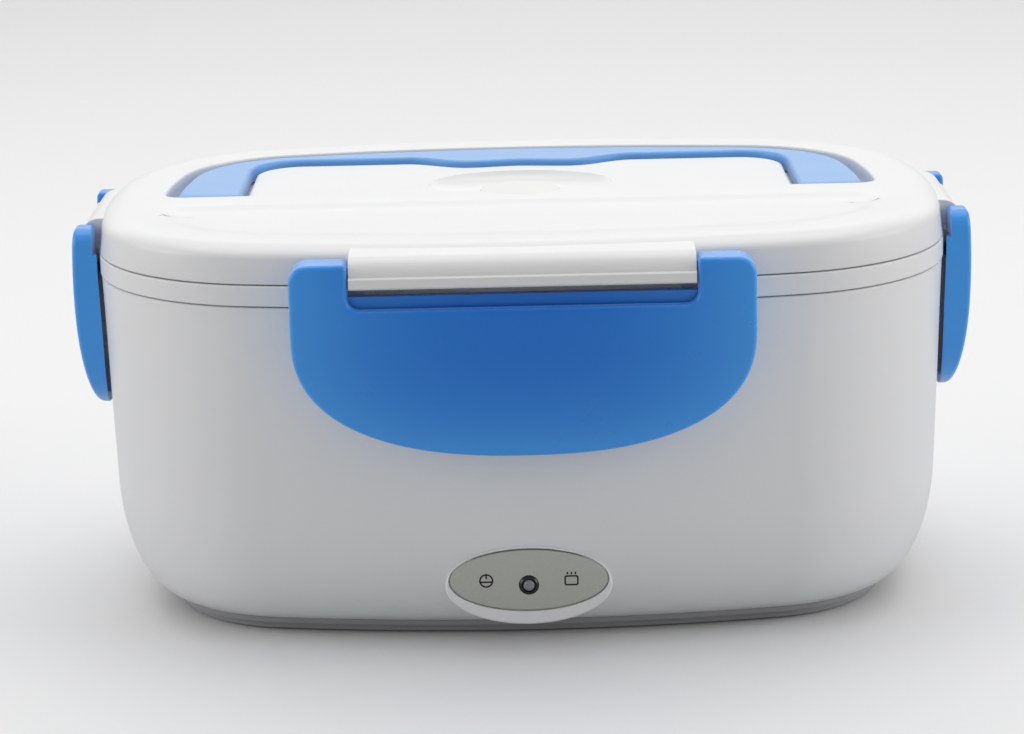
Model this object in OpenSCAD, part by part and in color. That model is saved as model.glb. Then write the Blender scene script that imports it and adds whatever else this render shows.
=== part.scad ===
// Electric lunch box: an oval heated base with a food tray, a removable
// container, and a lift-off lid held by four snap latches.
// Millimetres, +Z up, long side along X, front towards -Y.
// The origin is under the middle of the box, on the surface that it stands on.

/* [Oval outline] */
// Length of the rim band, without the latches
body_len = 224; // [200:1:250]
// Depth of the rim band, without the latches
body_dep = 156; // [142:1:176]
// Plan radius of the two long sides
long_r = 380; // [300:5:520]
// Plan radius of the two ends
end_r = 180; // [140:5:260]
// Plan radius of the four corners
corner_r = 51; // [44:1:58]

/* [Outer shell] */
// Height of the shell's top edge, under the rim band
shell_top = 90; // [82:0.5:110]
// Height of the shell's lower edge
shell_low = 4; // [3.5:0.5:8]
// Wall of the outer shell
shell_wall = 2.2; // [1.6:0.1:2.6]
// How far the shell's top edge stands back from the rim band
shell_back = 0.3; // [0.1:0.1:1]
// Inward slope of the shell's side, in degrees
shell_draft = 1.7; // [0.5:0.1:3]
// Inward reach of the rounded lower edge
round_w = 15; // [10:1:20]
// Height of the rounded lower edge
round_h = 32; // [20:1:40]

/* [Base cover] */
// Thickness of the cover plate
cover_t = 2; // [1.5:0.1:2.5]
// Reach of the cover's edge under the shell
cover_lap = 1.4; // [0.8:0.1:2.5]
// Wall of the foot ring
foot_wall = 2.4; // [1.6:0.1:4]
// Gap between the foot ring and the surface that the box stands on
foot_gap = 0.6; // [0.3:0.1:1]
// Diameter of a rubber foot
pad_d = 11; // [8:0.5:14]
// Depth of a rubber foot's socket in the cover
pad_socket = 0.8; // [0.5:0.1:1]
// Distance from the box's end to a cover screw
screw_end = 46; // [42:1:54]
// Distance from the box's front or back to a cover screw
screw_side = 44; // [40:1:50]
// Distance from the box's end to a rubber foot
pad_end = 34; // [32:1:42]
// Distance from the box's front or back to a rubber foot
pad_side = 54; // [52:1:60]

/* [Rim and liner] */
// Height of the rim band
band_h = 5.2; // [4:0.1:8]
// Width of the rim's flat top
land_w = 4; // [3.4:0.1:5]
// Depth of the ledge that carries the tray, below the rim's top
ledge_drop = 2.4; // [2:0.1:3.5]
// Width of that ledge
ledge_w = 5; // [4:0.1:6]
// Wall of the liner
liner_wall = 2; // [1.4:0.1:2.4]
// Inward slope of the liner's wall, in degrees
liner_draft = 1.6; // [1:0.1:3]
// Height of the liner's inner floor
liner_floor = 26; // [22:0.5:30]
// Radius of the liner's lower edge
liner_round = 10; // [6:0.5:14]
// Depth of the lip that locates the liner in the shell
lip_h = 3.5; // [2:0.1:6]
// Wall of that lip
lip_t = 1.6; // [1:0.1:2]
// Reach of a catch rib from the rim band
catch_out = 2; // [1.6:0.1:2]
// Height of a catch rib
catch_h = 3.6; // [2.6:0.1:4.2]

/* [Heater] */
// Length of the heating plate
plate_len = 100; // [80:1:112]
// Depth of the heating plate
plate_dep = 70; // [56:1:78]
// Thickness of the heating plate
plate_t = 1.5; // [1:0.1:2.5]
// Corner radius of the heating plate
plate_r = 12; // [8:0.5:16]
// Width of the plate's bonded edge
plate_edge = 6; // [5:0.5:8]
// Thickness of the silicone gasket under the plate
gasket_t = 1; // [0.6:0.1:1.5]
// Length of the heating element
heater_len = 60; // [40:1:66]
// Depth of the heating element
heater_dep = 30; // [20:1:32]
// Thickness of the heating element
heater_t = 5; // [4:0.1:6]
// Thickness of the clamp strip under the heating element
clamp_t = 1.2; // [0.8:0.1:1.6]
// Width of the clamp strip
clamp_w = 14; // [10:0.5:18]
// Length of the thermal cutout
cutout_len = 21; // [16:0.5:24]
// Width of the thermal cutout
cutout_w = 7.5; // [6:0.5:9]
// Thickness of the thermal cutout
cutout_t = 4.2; // [3:0.1:5]
// Thread diameter of the screws
screw_d = 3; // [2.6:0.1:3.4]

/* [Power inlet] */
// Height of the inlet's centre
inlet_z = 17.2; // [16.4:0.2:17.4]
// Width of the inlet's opening
inlet_w = 20.4; // [18:0.2:24]
// Height of the inlet's opening
inlet_h = 9.6; // [8.4:0.2:10.4]
// Depth of the inlet's opening
inlet_dep = 14; // [13:0.5:16]
// Wall of the inlet's socket
inlet_wall = 1.6; // [1.2:0.1:2]
// Distance between the two contact pins
contact_gap = 8.6; // [8:0.1:10]
// Diameter of a contact pin
contact_d = 2.4; // [2:0.1:3]
// Length of a contact pin inside the opening
contact_len = 8.5; // [6:0.5:8.5]

/* [Badge and lamp] */
// Width of the oval badge
badge_w = 40.4; // [34:0.2:46]
// Height of the oval badge
badge_h = 16.5; // [13:0.1:17]
// Thickness of the badge
badge_t = 1; // [0.8:0.1:1.6]
// Height of the badge's centre
badge_z = 19.2; // [18:0.2:21]
// Rim of the boss around the badge
boss_rim = 1.5; // [1:0.1:2]
// How far the boss's face stands back from the rim band
boss_back = 1.2; // [0.5:0.1:2]
// Depth of the lamp's centre below the badge's centre
lamp_low = 1.3; // [0:0.1:2]
// Diameter of the lamp's black ring
ring_d = 5; // [4.4:0.1:6]
// Diameter of the lamp
lamp_d = 3; // [2.6:0.1:3.4]

/* [Food tray] */
// Wall of the tray and the container
tray_wall = 1.3; // [1:0.1:1.6]
// Thickness of the tray's rim
tray_rim = 1.5; // [1.2:0.1:2]
// Height of the tray's underside
tray_low = 42; // [38:0.5:50]
// Radius of the tray's lower edge
tray_round = 12; // [8:0.5:16]
// Place of the divider's middle along X
divider_x = 34; // [20:1:44]
// Thickness of the divider
divider_t = 3; // [2.4:0.2:5]
// Corner radius beside the divider
divider_r = 12; // [8:0.5:16]
// Depth of the container's rim below the tray's rim
cup_low = 2; // [1.5:0.1:4]
// Gap between the container and its compartment
cup_gap = 1.2; // [0.8:0.1:2]

/* [Lid] */
// Height of the lid from its lower edge to its top
lid_h = 9.5; // [9:0.1:13]
// Wall of the lid
lid_wall = 2.2; // [1.8:0.1:2.4]
// Width of the lid's rounded top edge
edge_w = 7; // [5:0.5:9]
// Height of the lid's rounded top edge
edge_h = 3.6; // [2.5:0.1:4.5]
// Inward slope of the lid's side, in degrees
lid_draft = 8; // [3:0.5:10]
// Distance from the lid's edge to the oval recess in its top
oval_in = 17; // [15:0.5:18]
// Depth of the shallow panel in front
panel_drop = 1; // [0.6:0.1:1.2]
// Thickness of the panel and the recess floor
skin = 1.8; // [1.4:0.1:2]
// Front face of the ridge across the lid
ridge_front = -18; // [-22:0.5:-16]
// Back face of the ridge across the lid
ridge_back = -5; // [-8:0.5:-4.5]
// Depth of the handle recess
recess_drop = 5.1; // [4.8:0.1:5.1]
// Depth of the deck inside the handle
deck_drop = 1.8; // [1.6:0.1:2.4]
// Half the width of the finger scoop
scoop_w = 25; // [20:0.5:30]
// Half the depth of the finger scoop in plan
scoop_d = 18; // [15:0.5:19]
// Place of the scoop's middle along Y
scoop_y = 15; // [13:0.5:16]
// Depth of the scoop below the lid's top
scoop_drop = 4.4; // [3:0.1:4.6]
// Thickness of the inner panel
inner_t = 1.8; // [1.4:0.1:2]
// Width of the seal ring
seal_w = 4; // [3:0.1:4.4]
// Depth of the seal's groove in the inner panel
groove_d = 1; // [0.8:0.1:1.2]

/* [Vent plug] */
// Diameter of the plug's cap
plug_d = 22; // [18:0.5:24]
// Thickness of the plug's cap
plug_t = 2.2; // [1.6:0.1:2.4]
// Diameter of the plug's stem
stem_d = 7.8; // [6:0.1:9]
// Place of the plug along Y
plug_y = 0.5; // [0:0.5:3]
// Radial gap around the stem
stem_gap = 0.1; // [0.05:0.01:0.2]

/* [Handle] */
// Distance from the lid's edge to the handle's outer edge
handle_in = 22; // [21:0.5:26]
// Width of a handle arm
arm_w = 16; // [12:0.5:18]
// Depth of the handle's crossbar
bar_d = 12; // [9:0.5:14]
// Extra depth of the crossbar's middle
swell = 8; // [4:0.5:9]
// Thickness of the handle
handle_t = 4.5; // [3.6:0.1:4.6]
// Radius of the handle's inner corners
handle_r = 14; // [8:0.5:18]
// Place of the handle's pivot along Y
pivot_y = -2; // [-2.5:0.1:0]
// Diameter of the handle's pivot pins
pivot_d = 3; // [2.4:0.1:3.2]

/* [Latches] */
// Width of the front and back latches
latch_w = 113.6; // [100:0.2:120]
// Width of the side latches
side_w = 62; // [54:1:66]
// Width of an ear of the front and back latches
ear_w = 14.2; // [12:0.2:18]
// Width of an ear of the side latches
side_ear_w = 10; // [8.5:0.5:12]
// Height of the front latch
latch_h = 49.5; // [42:0.5:54]
// Height of the other latches
side_h = 51.8; // [46:0.1:53]
// Reach of the front latch's face from the rim band
latch_out = 9.3; // [9:0.1:10.5]
// Reach of the other latches' faces from the rim band
side_out = 4.9; // [4.7:0.1:5.6]
// Radius of a latch's face seen from the side
face_r = 200; // [160:5:300]
// Distance from a latch's top to the fullest height of its face
crown = 15; // [10:0.5:20]
// Height of the rounded lower part of a latch
flap_h = 31.5; // [24:0.5:34]
// Wall of a latch
latch_wall = 2.3; // [1.8:0.1:2.6]
// Radius of an ear's outer corner
ear_r = 4.5; // [3:0.5:6]
// Distance from the rim band to the front latch's pivot
hinge_out = 4; // [3.6:0.1:4.4]
// Distance from the rim band to the other latches' pivots
side_hinge_out = 1.2; // [1.1:0.1:1.3]
// Diameter of a latch's pivot pins
hinge_d = 2.8; // [2.4:0.1:2.8]
// Height of a latch's hook
hook_h = 3; // [2:0.1:4]
// Reach of the lid's front hinge bar from the rim band
bar_out = 8.6; // [8:0.1:9]
// Reach of the lid's other hinge bars from the rim band
side_bar_out = 4.2; // [4:0.1:4.4]
// Height of the lid's front hinge bar
bar_h = 7.5; // [7:0.1:7.9]
// Height of the lid's other hinge bars
side_bar_h = 6.6; // [6.2:0.1:6.8]
// How much lower than the front one the other latches sit
side_drop = 1.4; // [1:0.1:1.5]
// Height of the recess in a latch's face below the hinge bar
notch_h = 4.1; // [3:0.1:5]
// Radius of that recess's lower corners
notch_r = 3; // [2:0.1:3]
// Depth of that recess
notch_t = 1.2; // [0.8:0.1:1.2]

/* [Fits] */
// Gap between pieces that move apart
gap = 0.3; // [0.2:0.05:0.5]
// Radial play of a pivot pin in its bore
play = 0.05; // [0.02:0.01:0.1]
// Gap between a latch and the wall behind it
latch_gap = 0.9; // [0.6:0.1:1.2]

/* [Hidden] */
$fn = 48;

// Colours
white = "#F2F2F2";
blue = "#3F80C0";
steel = "#B8BCC0";
tint = "#E4E8EA";

// Fine joins: how far a tool reaches past the face that it cuts
eps = 0.5;

// Heights that follow from the sizes above
rim_top = shell_top + band_h;
ledge_z = rim_top - ledge_drop;
lid_low = rim_top + gap;
lid_top = lid_low + lid_h;
under_liner = liner_floor - liner_wall;
tray_rim_low = ledge_z + gap;
tray_top = tray_rim_low + tray_rim;
seal_low = tray_top + gap;
inner_low = seal_low + 1.1;
inner_top = inner_low + inner_t;
recess_z = lid_top - recess_drop;
deck_z = lid_top - deck_drop;
handle_z = recess_z + gap + handle_t / 2;

// The origin lies under the middle of the overall size, and the front latch stands out furthest
mid_y = (latch_out - side_out) / 2;
module place() {
    translate([0, mid_y, 0]) children();
}

// ---------------------------------------------------------------- outline
half_l = body_len / 2;
half_d = body_dep / 2;
long_c = [0, half_d - long_r];
end_c = [half_l - end_r, 0];

// Middle of a corner arc, which touches a long side's arc and an end's arc
function meet(p, rp, q, rq) =
    let (d = norm(q - p), a = (rp * rp - rq * rq + d * d) / (2 * d),
         h = sqrt(rp * rp - a * a), e = (q - p) / d)
    p + a * e + h * [e.y, -e.x];
cover_screw_x = half_l - screw_end;
cover_screw_y = half_d - screw_side;
pad_x = half_l - pad_end;
pad_y = half_d - pad_side;

corner_c = meet(long_c, long_r - corner_r, end_c, end_r - corner_r);
a_end = atan2(corner_c.y - end_c.y, corner_c.x - end_c.x);
a_long = atan2(corner_c.y - long_c.y, corner_c.x - long_c.x);

// Segments of a quarter outline: end, corner and long side
seg = [4, 9, 5];
function on(c, r, a) = c + r * [cos(a), sin(a)];
function arc(c, r, a0, a1, n) = [for (k = [0 : n]) on(c, r, a0 + (a1 - a0) * k / n)];
function tail(list) = [for (k = [1 : len(list) - 1]) list[k]];
function quarter(i) = concat(
    arc(end_c, end_r - i, 0, a_end, seg[0]),
    tail(arc(corner_c, corner_r - i, a_end, a_long, seg[1])),
    tail(arc(long_c, long_r - i, a_long, 90, seg[2])));
// The oval, i inside the rim band
function outline(i) =
    let (q = quarter(i), n = len(q) - 1) concat(
    [for (k = [0 : n - 1]) q[k]],
    [for (k = [n : -1 : 1]) [-q[k].x, q[k].y]],
    [for (k = [0 : n - 1]) -q[k]],
    [for (k = [n : -1 : 1]) [q[k].x, -q[k].y]]);

// Right end of the oval, cut at x0 with rounded corners of radius r
function end_outline(i, x0, r) =
    let (rl = long_r - i, cx = x0 + r,
         cy = long_c.y + sqrt(pow(rl - r, 2) - cx * cx),
         af = atan2(cy - long_c.y, cx),
         up = concat(arc(end_c, end_r - i, 0, a_end, 3),
             tail(arc(corner_c, corner_r - i, a_end, a_long, 6)),
             tail(arc(long_c, rl, a_long, af, 4)),
             tail(arc([cx, cy], r, af, 180, 5))),
         n = len(up) - 1)
    concat([for (k = [n : -1 : 1]) [up[k].x, -up[k].y]], up);

// ---------------------------------------------------------------- solids
function lift(ring, z) = [for (p = ring) [p.x, p.y, z]];
// Solid through rings of equal length, closed by a flat face at both ends
module loft(rings) {
    n = len(rings[0]);
    m = len(rings);
    side = [for (k = [0 : m - 2], j = [0 : n - 1])
        let (a = k * n + j, b = k * n + (j + 1) % n)
        each [[a, a + n, b + n], [a, b + n, b]]];
    caps = [[for (j = [0 : n - 1]) j], [for (j = [n - 1 : -1 : 0]) (m - 1) * n + j]];
    polyhedron([for (r = rings) each r], concat(side, caps));
}
// Oval solid through a profile of [inset, height] pairs
module oval_loft(profile) {
    loft([for (p = profile) lift(outline(p[0]), p[1])]);
}
// Upright oval disc
module oval(i, z0, z1) {
    translate([0, 0, z0]) linear_extrude(z1 - z0) polygon(outline(i));
}
// Upright oval ring between two insets
module oval_ring(i_out, i_in, z0, z1) {
    difference() {
        oval(i_out, z0, z1);
        oval(i_in, z0 - eps, z1 + eps);
    }
}
module rounded(w, d, r) {
    corners = [for (c = [[1, 1, 0], [-1, 1, 90], [-1, -1, 180], [1, -1, 270]])
        each arc([c[0] * (w / 2 - r), c[1] * (d / 2 - r)], r, c[2], c[2] + 90, 6)];
    polygon(corners);
}
module rounded_block(w, d, r, z0, z1) {
    translate([0, 0, z0]) linear_extrude(z1 - z0) rounded(w, d, r);
}
// Oval of half axes a and b
function ellipse(a, b, n = 40) = [for (k = [0 : n - 1]) [a * cos(360 * k / n), b * sin(360 * k / n)]];
module four(x, y) {
    for (sx = [-1, 1], sy = [-1, 1]) translate([sx * x, sy * y, 0]) children();
}
// Profile in the Y-Z plane, swept along X about the middle
module along_x(len) {
    translate([-len / 2, 0, 0]) rotate([90, 0, 90]) linear_extrude(len) children();
}
// Outline in the X-Z plane, swept from y0 to y1
module along_y(y0, y1) {
    translate([0, y1, 0]) rotate([90, 0, 0]) linear_extrude(y1 - y0) children();
}

// ---------------------------------------------------------------- outer shell
slope = tan(shell_draft);
round_top = shell_low + round_h;
side_in = shell_back + slope * (shell_top - round_top);
low_in = side_in + round_w;
// Inset of the shell's outer face at height z, on its straight side
function shell_in(z) = shell_back + slope * (shell_top - z);
function shell_round(t, a) = [side_in + round_w - (round_w - t) * cos(a),
    round_top - (round_h - t) * sin(a)];
round_steps = [90, 72, 54, 38, 24, 11, 0];
shell_outside = concat([for (a = round_steps) shell_round(0, a)],
    [[shell_back, shell_top]]);
shell_inside = concat([[low_in, shell_low - eps]],
    [for (a = round_steps) shell_round(shell_wall, a)],
    [[shell_back + shell_wall, shell_top + eps]]);

boss_y = half_d - boss_back;
boss_w = badge_w / 2 + boss_rim;
boss_h = badge_h / 2 + boss_rim;
seat_w = inlet_w + 2 * inlet_wall + 7;
seat_h = inlet_h + 2 * inlet_wall + 4.6;
lamp_z = badge_z - lamp_low;

module outer_shell() {
    place() color(white) difference() {
        union() {
            oval_loft(shell_outside);
            // Oval boss that carries the badge
            translate([0, 0, badge_z]) along_y(-boss_y, -boss_y + 26) polygon(ellipse(boss_w, boss_h));
            // Flat boss that carries the inlet
            translate([0, 0, inlet_z]) along_y(boss_y - 26, boss_y) rounded(seat_w, seat_h, 4);
        }
        oval_loft(shell_inside);
        // Shallow seat of the badge, and the lamp's hole
        translate([0, 0, badge_z]) along_y(-boss_y - eps, -boss_y + badge_t)
            polygon(ellipse(badge_w / 2, badge_h / 2));
        translate([0, 0, lamp_z]) rotate([90, 0, 0]) cylinder(d = ring_d, h = half_d);
        // Opening of the inlet
        translate([0, 0, inlet_z]) along_y(half_d - 30, half_d)
            rounded(inlet_w + 2 * inlet_wall, inlet_h + 2 * inlet_wall, 4);
    }
}

// ---------------------------------------------------------------- liner
ledge_in = land_w + ledge_w;
lip_in = shell_back + shell_wall + gap;
plate_z = liner_floor - 0.2;
gasket_z = plate_z - gasket_t;
heater_z = plate_z - heater_t;
clamp_x = plate_len / 2 + 4.5;
boss_d = screw_d + 5;
pilot_d = screw_d + 0.1;
cover_top = shell_low - 1.3 + cover_t;
liner_steps = [90, 65, 40, 18, 0];
function liner_face(t) =
    let (r = liner_round + t, z0 = liner_floor - t, zr = z0 + r,
         s = ledge_in - t + tan(liner_draft) * (ledge_z - zr))
    [for (a = liner_steps) [s + r * (1 - cos(a)), zr - r * sin(a)]];

module inner_liner() {
    place() color(white) difference() {
        union() {
            oval_loft(concat(liner_face(liner_wall),
                [[ledge_in - liner_wall, ledge_z - liner_wall],
                 [lip_in + lip_t, ledge_z - liner_wall],
                 [lip_in + lip_t, shell_top - lip_h],
                 [lip_in, shell_top - lip_h],
                 [lip_in, shell_top], [0, shell_top], [0, rim_top]]));
            catch_ribs();
            four(cover_screw_x, cover_screw_y)
                translate([0, 0, cover_top]) cylinder(d = boss_d, h = liner_floor - 1 - cover_top);
            for (s = [-1, 1]) translate([s * clamp_x, 0, heater_z])
                cylinder(d = boss_d, h = liner_floor - 1 - heater_z);
        }
        // Inside of the liner, with the tray's ledge
        oval_loft(concat(liner_face(0), [[ledge_in, ledge_z], [land_w, ledge_z],
            [land_w, rim_top + eps]]));
        // Stepped window of the heating plate
        rounded_block(plate_len + 0.6, plate_dep + 0.6, plate_r + 0.3, gasket_z, liner_floor + eps);
        rounded_block(plate_len - 2 * plate_edge, plate_dep - 2 * plate_edge, plate_r - 4,
            under_liner - eps, liner_floor);
        four(cover_screw_x, cover_screw_y)
            translate([0, 0, cover_top - eps]) cylinder(d = pilot_d, h = 11);
        for (s = [-1, 1]) translate([s * clamp_x, 0, heater_z - eps])
            cylinder(d = pilot_d, h = 4);
    }
}
catch_low = shell_top + 0.5;
module catch_ribs() {
    intersection() {
        oval_ring(-catch_out, 1, catch_low, catch_low + catch_h);
        for (k = [0 : 3]) on_side(k) translate([-hook_half(k), -20, shell_top])
            cube([2 * hook_half(k), 40, band_h]);
    }
}

// ---------------------------------------------------------------- base cover
cover_low = shell_low - 1.3;
cover_in = low_in + 0.2;
foot_in = low_in + 0.6;
module base_cover() {
    place() color(white) difference() {
        union() {
            oval(low_in - cover_lap, cover_low, shell_low);
            oval(cover_in, cover_low, cover_top);
            oval_ring(foot_in, foot_in + foot_wall, foot_gap, shell_low - 0.8);
        }
        four(cover_screw_x, cover_screw_y)
            translate([0, 0, cover_low - eps]) cylinder(d = screw_d + 0.3, h = cover_t + 2 * eps);
        four(pad_x, pad_y)
            translate([0, 0, cover_low - eps]) cylinder(d = pad_d + 0.1, h = pad_socket + eps);
    }
}
module pan_screw(len) {
    // Head below, shank above the seat at height 0
    cylinder(d = screw_d, h = len);
    translate([0, 0, -0.7]) cylinder(d = screw_d + 2.6, h = 0.7);
    translate([0, 0, -1.8]) difference() {
        cylinder(d1 = screw_d + 1.2, d2 = screw_d + 2.6, h = 1.1);
        translate([0, 0, -eps]) for (a = [0, 90]) rotate([0, 0, a])
            translate([-1.1, -0.25, 0]) cube([2.2, 0.5, 1.1]);
    }
}
module base_screws() {
    place() color(steel) four(cover_screw_x, cover_screw_y) translate([0, 0, cover_low]) pan_screw(12);
}
module rubber_feet() {
    place() color("#3A3A3C") four(pad_x, pad_y) {
        cylinder(d1 = pad_d - 1, d2 = pad_d, h = 1);
        translate([0, 0, 1]) cylinder(d = pad_d, h = cover_low + pad_socket - 1);
    }
}

// ---------------------------------------------------------------- heater
module heating_plate() {
    place() color(steel) union() {
        rounded_block(plate_len, plate_dep, plate_r, plate_z, plate_z + plate_t);
        // Raised field, pressed into the plate
        rounded_block(plate_len - 16, plate_dep - 16, plate_r - 4, plate_z + plate_t,
            plate_z + plate_t + 0.6);
    }
}
module plate_gasket() {
    place() color("#D8D8D4") difference() {
        rounded_block(plate_len, plate_dep, plate_r, gasket_z, plate_z);
        rounded_block(plate_len - 2 * plate_edge, plate_dep - 2 * plate_edge, plate_r - 4,
            gasket_z - eps, plate_z + eps);
    }
}
tab_w = 4;
tab_t = 0.8;
tab_len = 6;
heater_tab = [heater_len / 2, -11, heater_z + 2.4];
cutout_y = heater_dep / 2 + 3 + cutout_w / 2;
cutout_tab = [cutout_len / 2, cutout_y, plate_z - 2.2];
// Flat tabs that stick out at both ends
module tabs(at) {
    for (s = [-1, 1]) translate([s * (at.x + tab_len / 2), at.y, at.z])
        cube([tab_len + 0.2, tab_w, tab_t], center = true);
}
module heating_element() {
    place() color("#C9CBCD") union() {
        translate([-heater_len / 2, -heater_dep / 2, heater_z]) cube([heater_len, heater_dep, heater_t]);
        tabs(heater_tab);
    }
}
module heater_clamp() {
    strip = 2 * clamp_x + 10;
    place() color(steel) difference() {
        translate([0, 0, heater_z - clamp_t]) linear_extrude(clamp_t) rounded(strip, clamp_w, 3);
        for (s = [-1, 1]) translate([s * clamp_x, 0, heater_z - clamp_t - eps])
            cylinder(d = screw_d + 0.3, h = clamp_t + 2 * eps);
    }
}
module clamp_screws() {
    place() color(steel) for (s = [-1, 1]) translate([s * clamp_x, 0, heater_z - clamp_t]) pan_screw(4.5);
}
module thermal_cutout() {
    place() color("#3A3A3C") union() {
        translate([-cutout_len / 2, cutout_y - cutout_w / 2, plate_z - cutout_t])
            cube([cutout_len, cutout_w, cutout_t]);
        tabs(cutout_tab);
    }
}

// ---------------------------------------------------------------- power inlet
socket_back = boss_y - inlet_dep - 2;
module inlet_socket() {
    place() color("#2E2E30") translate([0, 0, inlet_z]) difference() {
        union() {
            along_y(socket_back, boss_y)
                rounded(inlet_w + 2 * inlet_wall - 0.3, inlet_h + 2 * inlet_wall - 0.3, 3.9);
            along_y(boss_y, boss_y + 1.2)
                rounded(inlet_w + 2 * inlet_wall + 4, inlet_h + 2 * inlet_wall + 2.6, 5);
        }
        along_y(boss_y - inlet_dep, boss_y + 1.2 + eps) rounded(inlet_w, inlet_h, inlet_h / 2 - 0.6);
        for (s = [-1, 1]) translate([s * contact_gap / 2, socket_back - eps, 0])
            rotate([-90, 0, 0]) cylinder(d = contact_d, h = 4);
    }
}
contact_back = socket_back - 5;
module contact_pins() {
    place() color(steel) for (s = [-1, 1]) translate([s * contact_gap / 2, contact_back, inlet_z])
        rotate([-90, 0, 0]) {
            len = boss_y - inlet_dep + contact_len - contact_back;
            cylinder(d = contact_d, h = len - 0.6);
            translate([0, 0, len - 0.6]) cylinder(d1 = contact_d, d2 = contact_d - 1, h = 0.6);
        }
}

// ---------------------------------------------------------------- wires
wire_d = 1.6;
function bend(p, t) = pow(1 - t, 3) * p[0] + 3 * pow(1 - t, 2) * t * p[1]
    + 3 * (1 - t) * t * t * p[2] + pow(t, 3) * p[3];
// Tube of eight sides along a bend between two ends
module wire(p, n = 14) {
    path = [for (k = [0 : n]) bend(p, k / n)];
    rings = [for (k = [0 : n])
        let (d = path[min(k + 1, n)] - path[max(k - 1, 0)], f = d / norm(d),
             g = cross(f, [0, 0, 1]), s = norm(g) > 0.01 ? g / norm(g) : [1, 0, 0],
             u = cross(s, f))
        [for (j = [0 : 7]) path[k] + wire_d / 2 * (cos(45 * j) * u + sin(45 * j) * s)]];
    loft(rings);
}
led_back = 9;
lead_x = 1.1;
lead_d = 0.6;
sleeve_len = 5;
// Flat sleeve pushed on a tab, open towards -X
module receptacle(at) {
    translate(at) difference() {
        translate([1, -tab_w / 2 - 0.7, -tab_t / 2 - 0.7]) cube([tab_len + 1.8, tab_w + 1.4, tab_t + 1.4]);
        translate([0, -tab_w / 2 - 0.1, -tab_t / 2 - 0.1]) cube([tab_len + 0.3, tab_w + 0.2, tab_t + 0.2]);
    }
}
module receptacles(at) {
    for (s = [0, 1]) mirror([s, 0, 0]) receptacle(at);
}
// Round sleeve, pushed over a pin that starts at height 0 and points up
contact_over = 2.5;
lead_over = 1.7;
module pin_sleeve(d, over) {
    difference() {
        translate([0, 0, over - sleeve_len]) cylinder(d = d + 1.4, h = sleeve_len, $fn = 16);
        translate([0, 0, -0.3]) cylinder(d = d + 0.2, h = sleeve_len, $fn = 16);
    }
}
wire_in = 0.4;
inlet_at = [contact_gap / 2, contact_back - sleeve_len + contact_over + wire_in, inlet_z];
lamp_at = [lead_x, -boss_y + led_back + sleeve_len - lead_over - wire_in, lamp_z];
heater_at = heater_tab + [tab_len + 2.4, 0, 0];
cutout_at = cutout_tab + [tab_len + 2.4, 0, 0];
function left(p) = [-p.x, p.y, p.z];
module inner_wires() {
    place() color("#B04038") {
        wire([inlet_at, inlet_at + [0, -10, -4], cutout_at + [16, 0, -4], cutout_at]);
        wire([left(cutout_at), left(cutout_at) + [-16, 0, -10], left(heater_at) + [-14, -2, -14],
            left(heater_at) + [0, 1.1, 0]]);
        wire([lamp_at, lamp_at + [2, 12, -4], heater_at + [14, -10, -7], heater_at + [0, -1.1, 0]]);
    }
    place() color("#3A5FA8") {
        wire([left(inlet_at), left(inlet_at) + [0, -16, -5], heater_at + [20, -2, -16],
            heater_at + [0, 1.1, 0]]);
        wire([left(lamp_at), left(lamp_at) + [-2, 12, -4], left(heater_at) + [-14, -10, -7],
            left(heater_at) + [0, -1.1, 0]]);
    }
    place() color(steel) {
        receptacles(heater_tab);
        receptacles(cutout_tab);
        for (s = [-1, 1]) {
            translate([s * contact_gap / 2, contact_back, inlet_z]) rotate([-90, 0, 0])
                pin_sleeve(contact_d, contact_over);
            translate([s * lead_x, -boss_y + led_back, lamp_z]) rotate([90, 0, 0])
                pin_sleeve(lead_d, lead_over);
        }
    }
}

// ---------------------------------------------------------------- badge, lamp
module badge_plate() {
    place() color("#C4C6BC") translate([0, 0, badge_z]) difference() {
        along_y(-boss_y, -boss_y + badge_t - 0.1) polygon(ellipse(badge_w / 2 - 0.3, badge_h / 2 - 0.3));
        translate([0, 0, -lamp_low]) rotate([90, 0, 0])
            cylinder(d = ring_d + 0.1, h = 3 * half_d, center = true);
    }
}
module lamp_ring() {
    place() color("#1C1C1E") translate([0, -boss_y - 0.6, lamp_z]) rotate([-90, 0, 0]) difference() {
        union() {
            cylinder(d1 = ring_d - 0.8, d2 = ring_d - 0.1, h = 0.6);
            translate([0, 0, 0.6]) cylinder(d = ring_d - 0.1, h = 5);
        }
        translate([0, 0, -eps]) cylinder(d = lamp_d + 0.1, h = 7);
    }
}
module lamp() {
    place() color("#9A9C9E") translate([0, -boss_y, lamp_z]) rotate([-90, 0, 0]) {
        cylinder(d = lamp_d, h = led_back - 2);
        intersection() {
            sphere(d = lamp_d);
            translate([0, 0, -lamp_d]) cylinder(d = lamp_d, h = lamp_d);
        }
        for (s = [-1, 1]) translate([s * lead_x, 0, led_back - 3]) cylinder(d = lead_d, h = 3);
    }
}

// ---------------------------------------------------------------- food tray
tray_slope = tan(3);
function tray_in(z) = ledge_in + 0.5 + tray_slope * (tray_rim_low - z);
tray_steps = [90, 60, 30, 0];
tray_zr = tray_low + tray_round;
tray_floor = tray_low + tray_wall;
function tray_turn(t, a) = [tray_in(tray_zr) + tray_round - (tray_round - t) * cos(a),
    tray_zr - (tray_round - t) * sin(a)];
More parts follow.
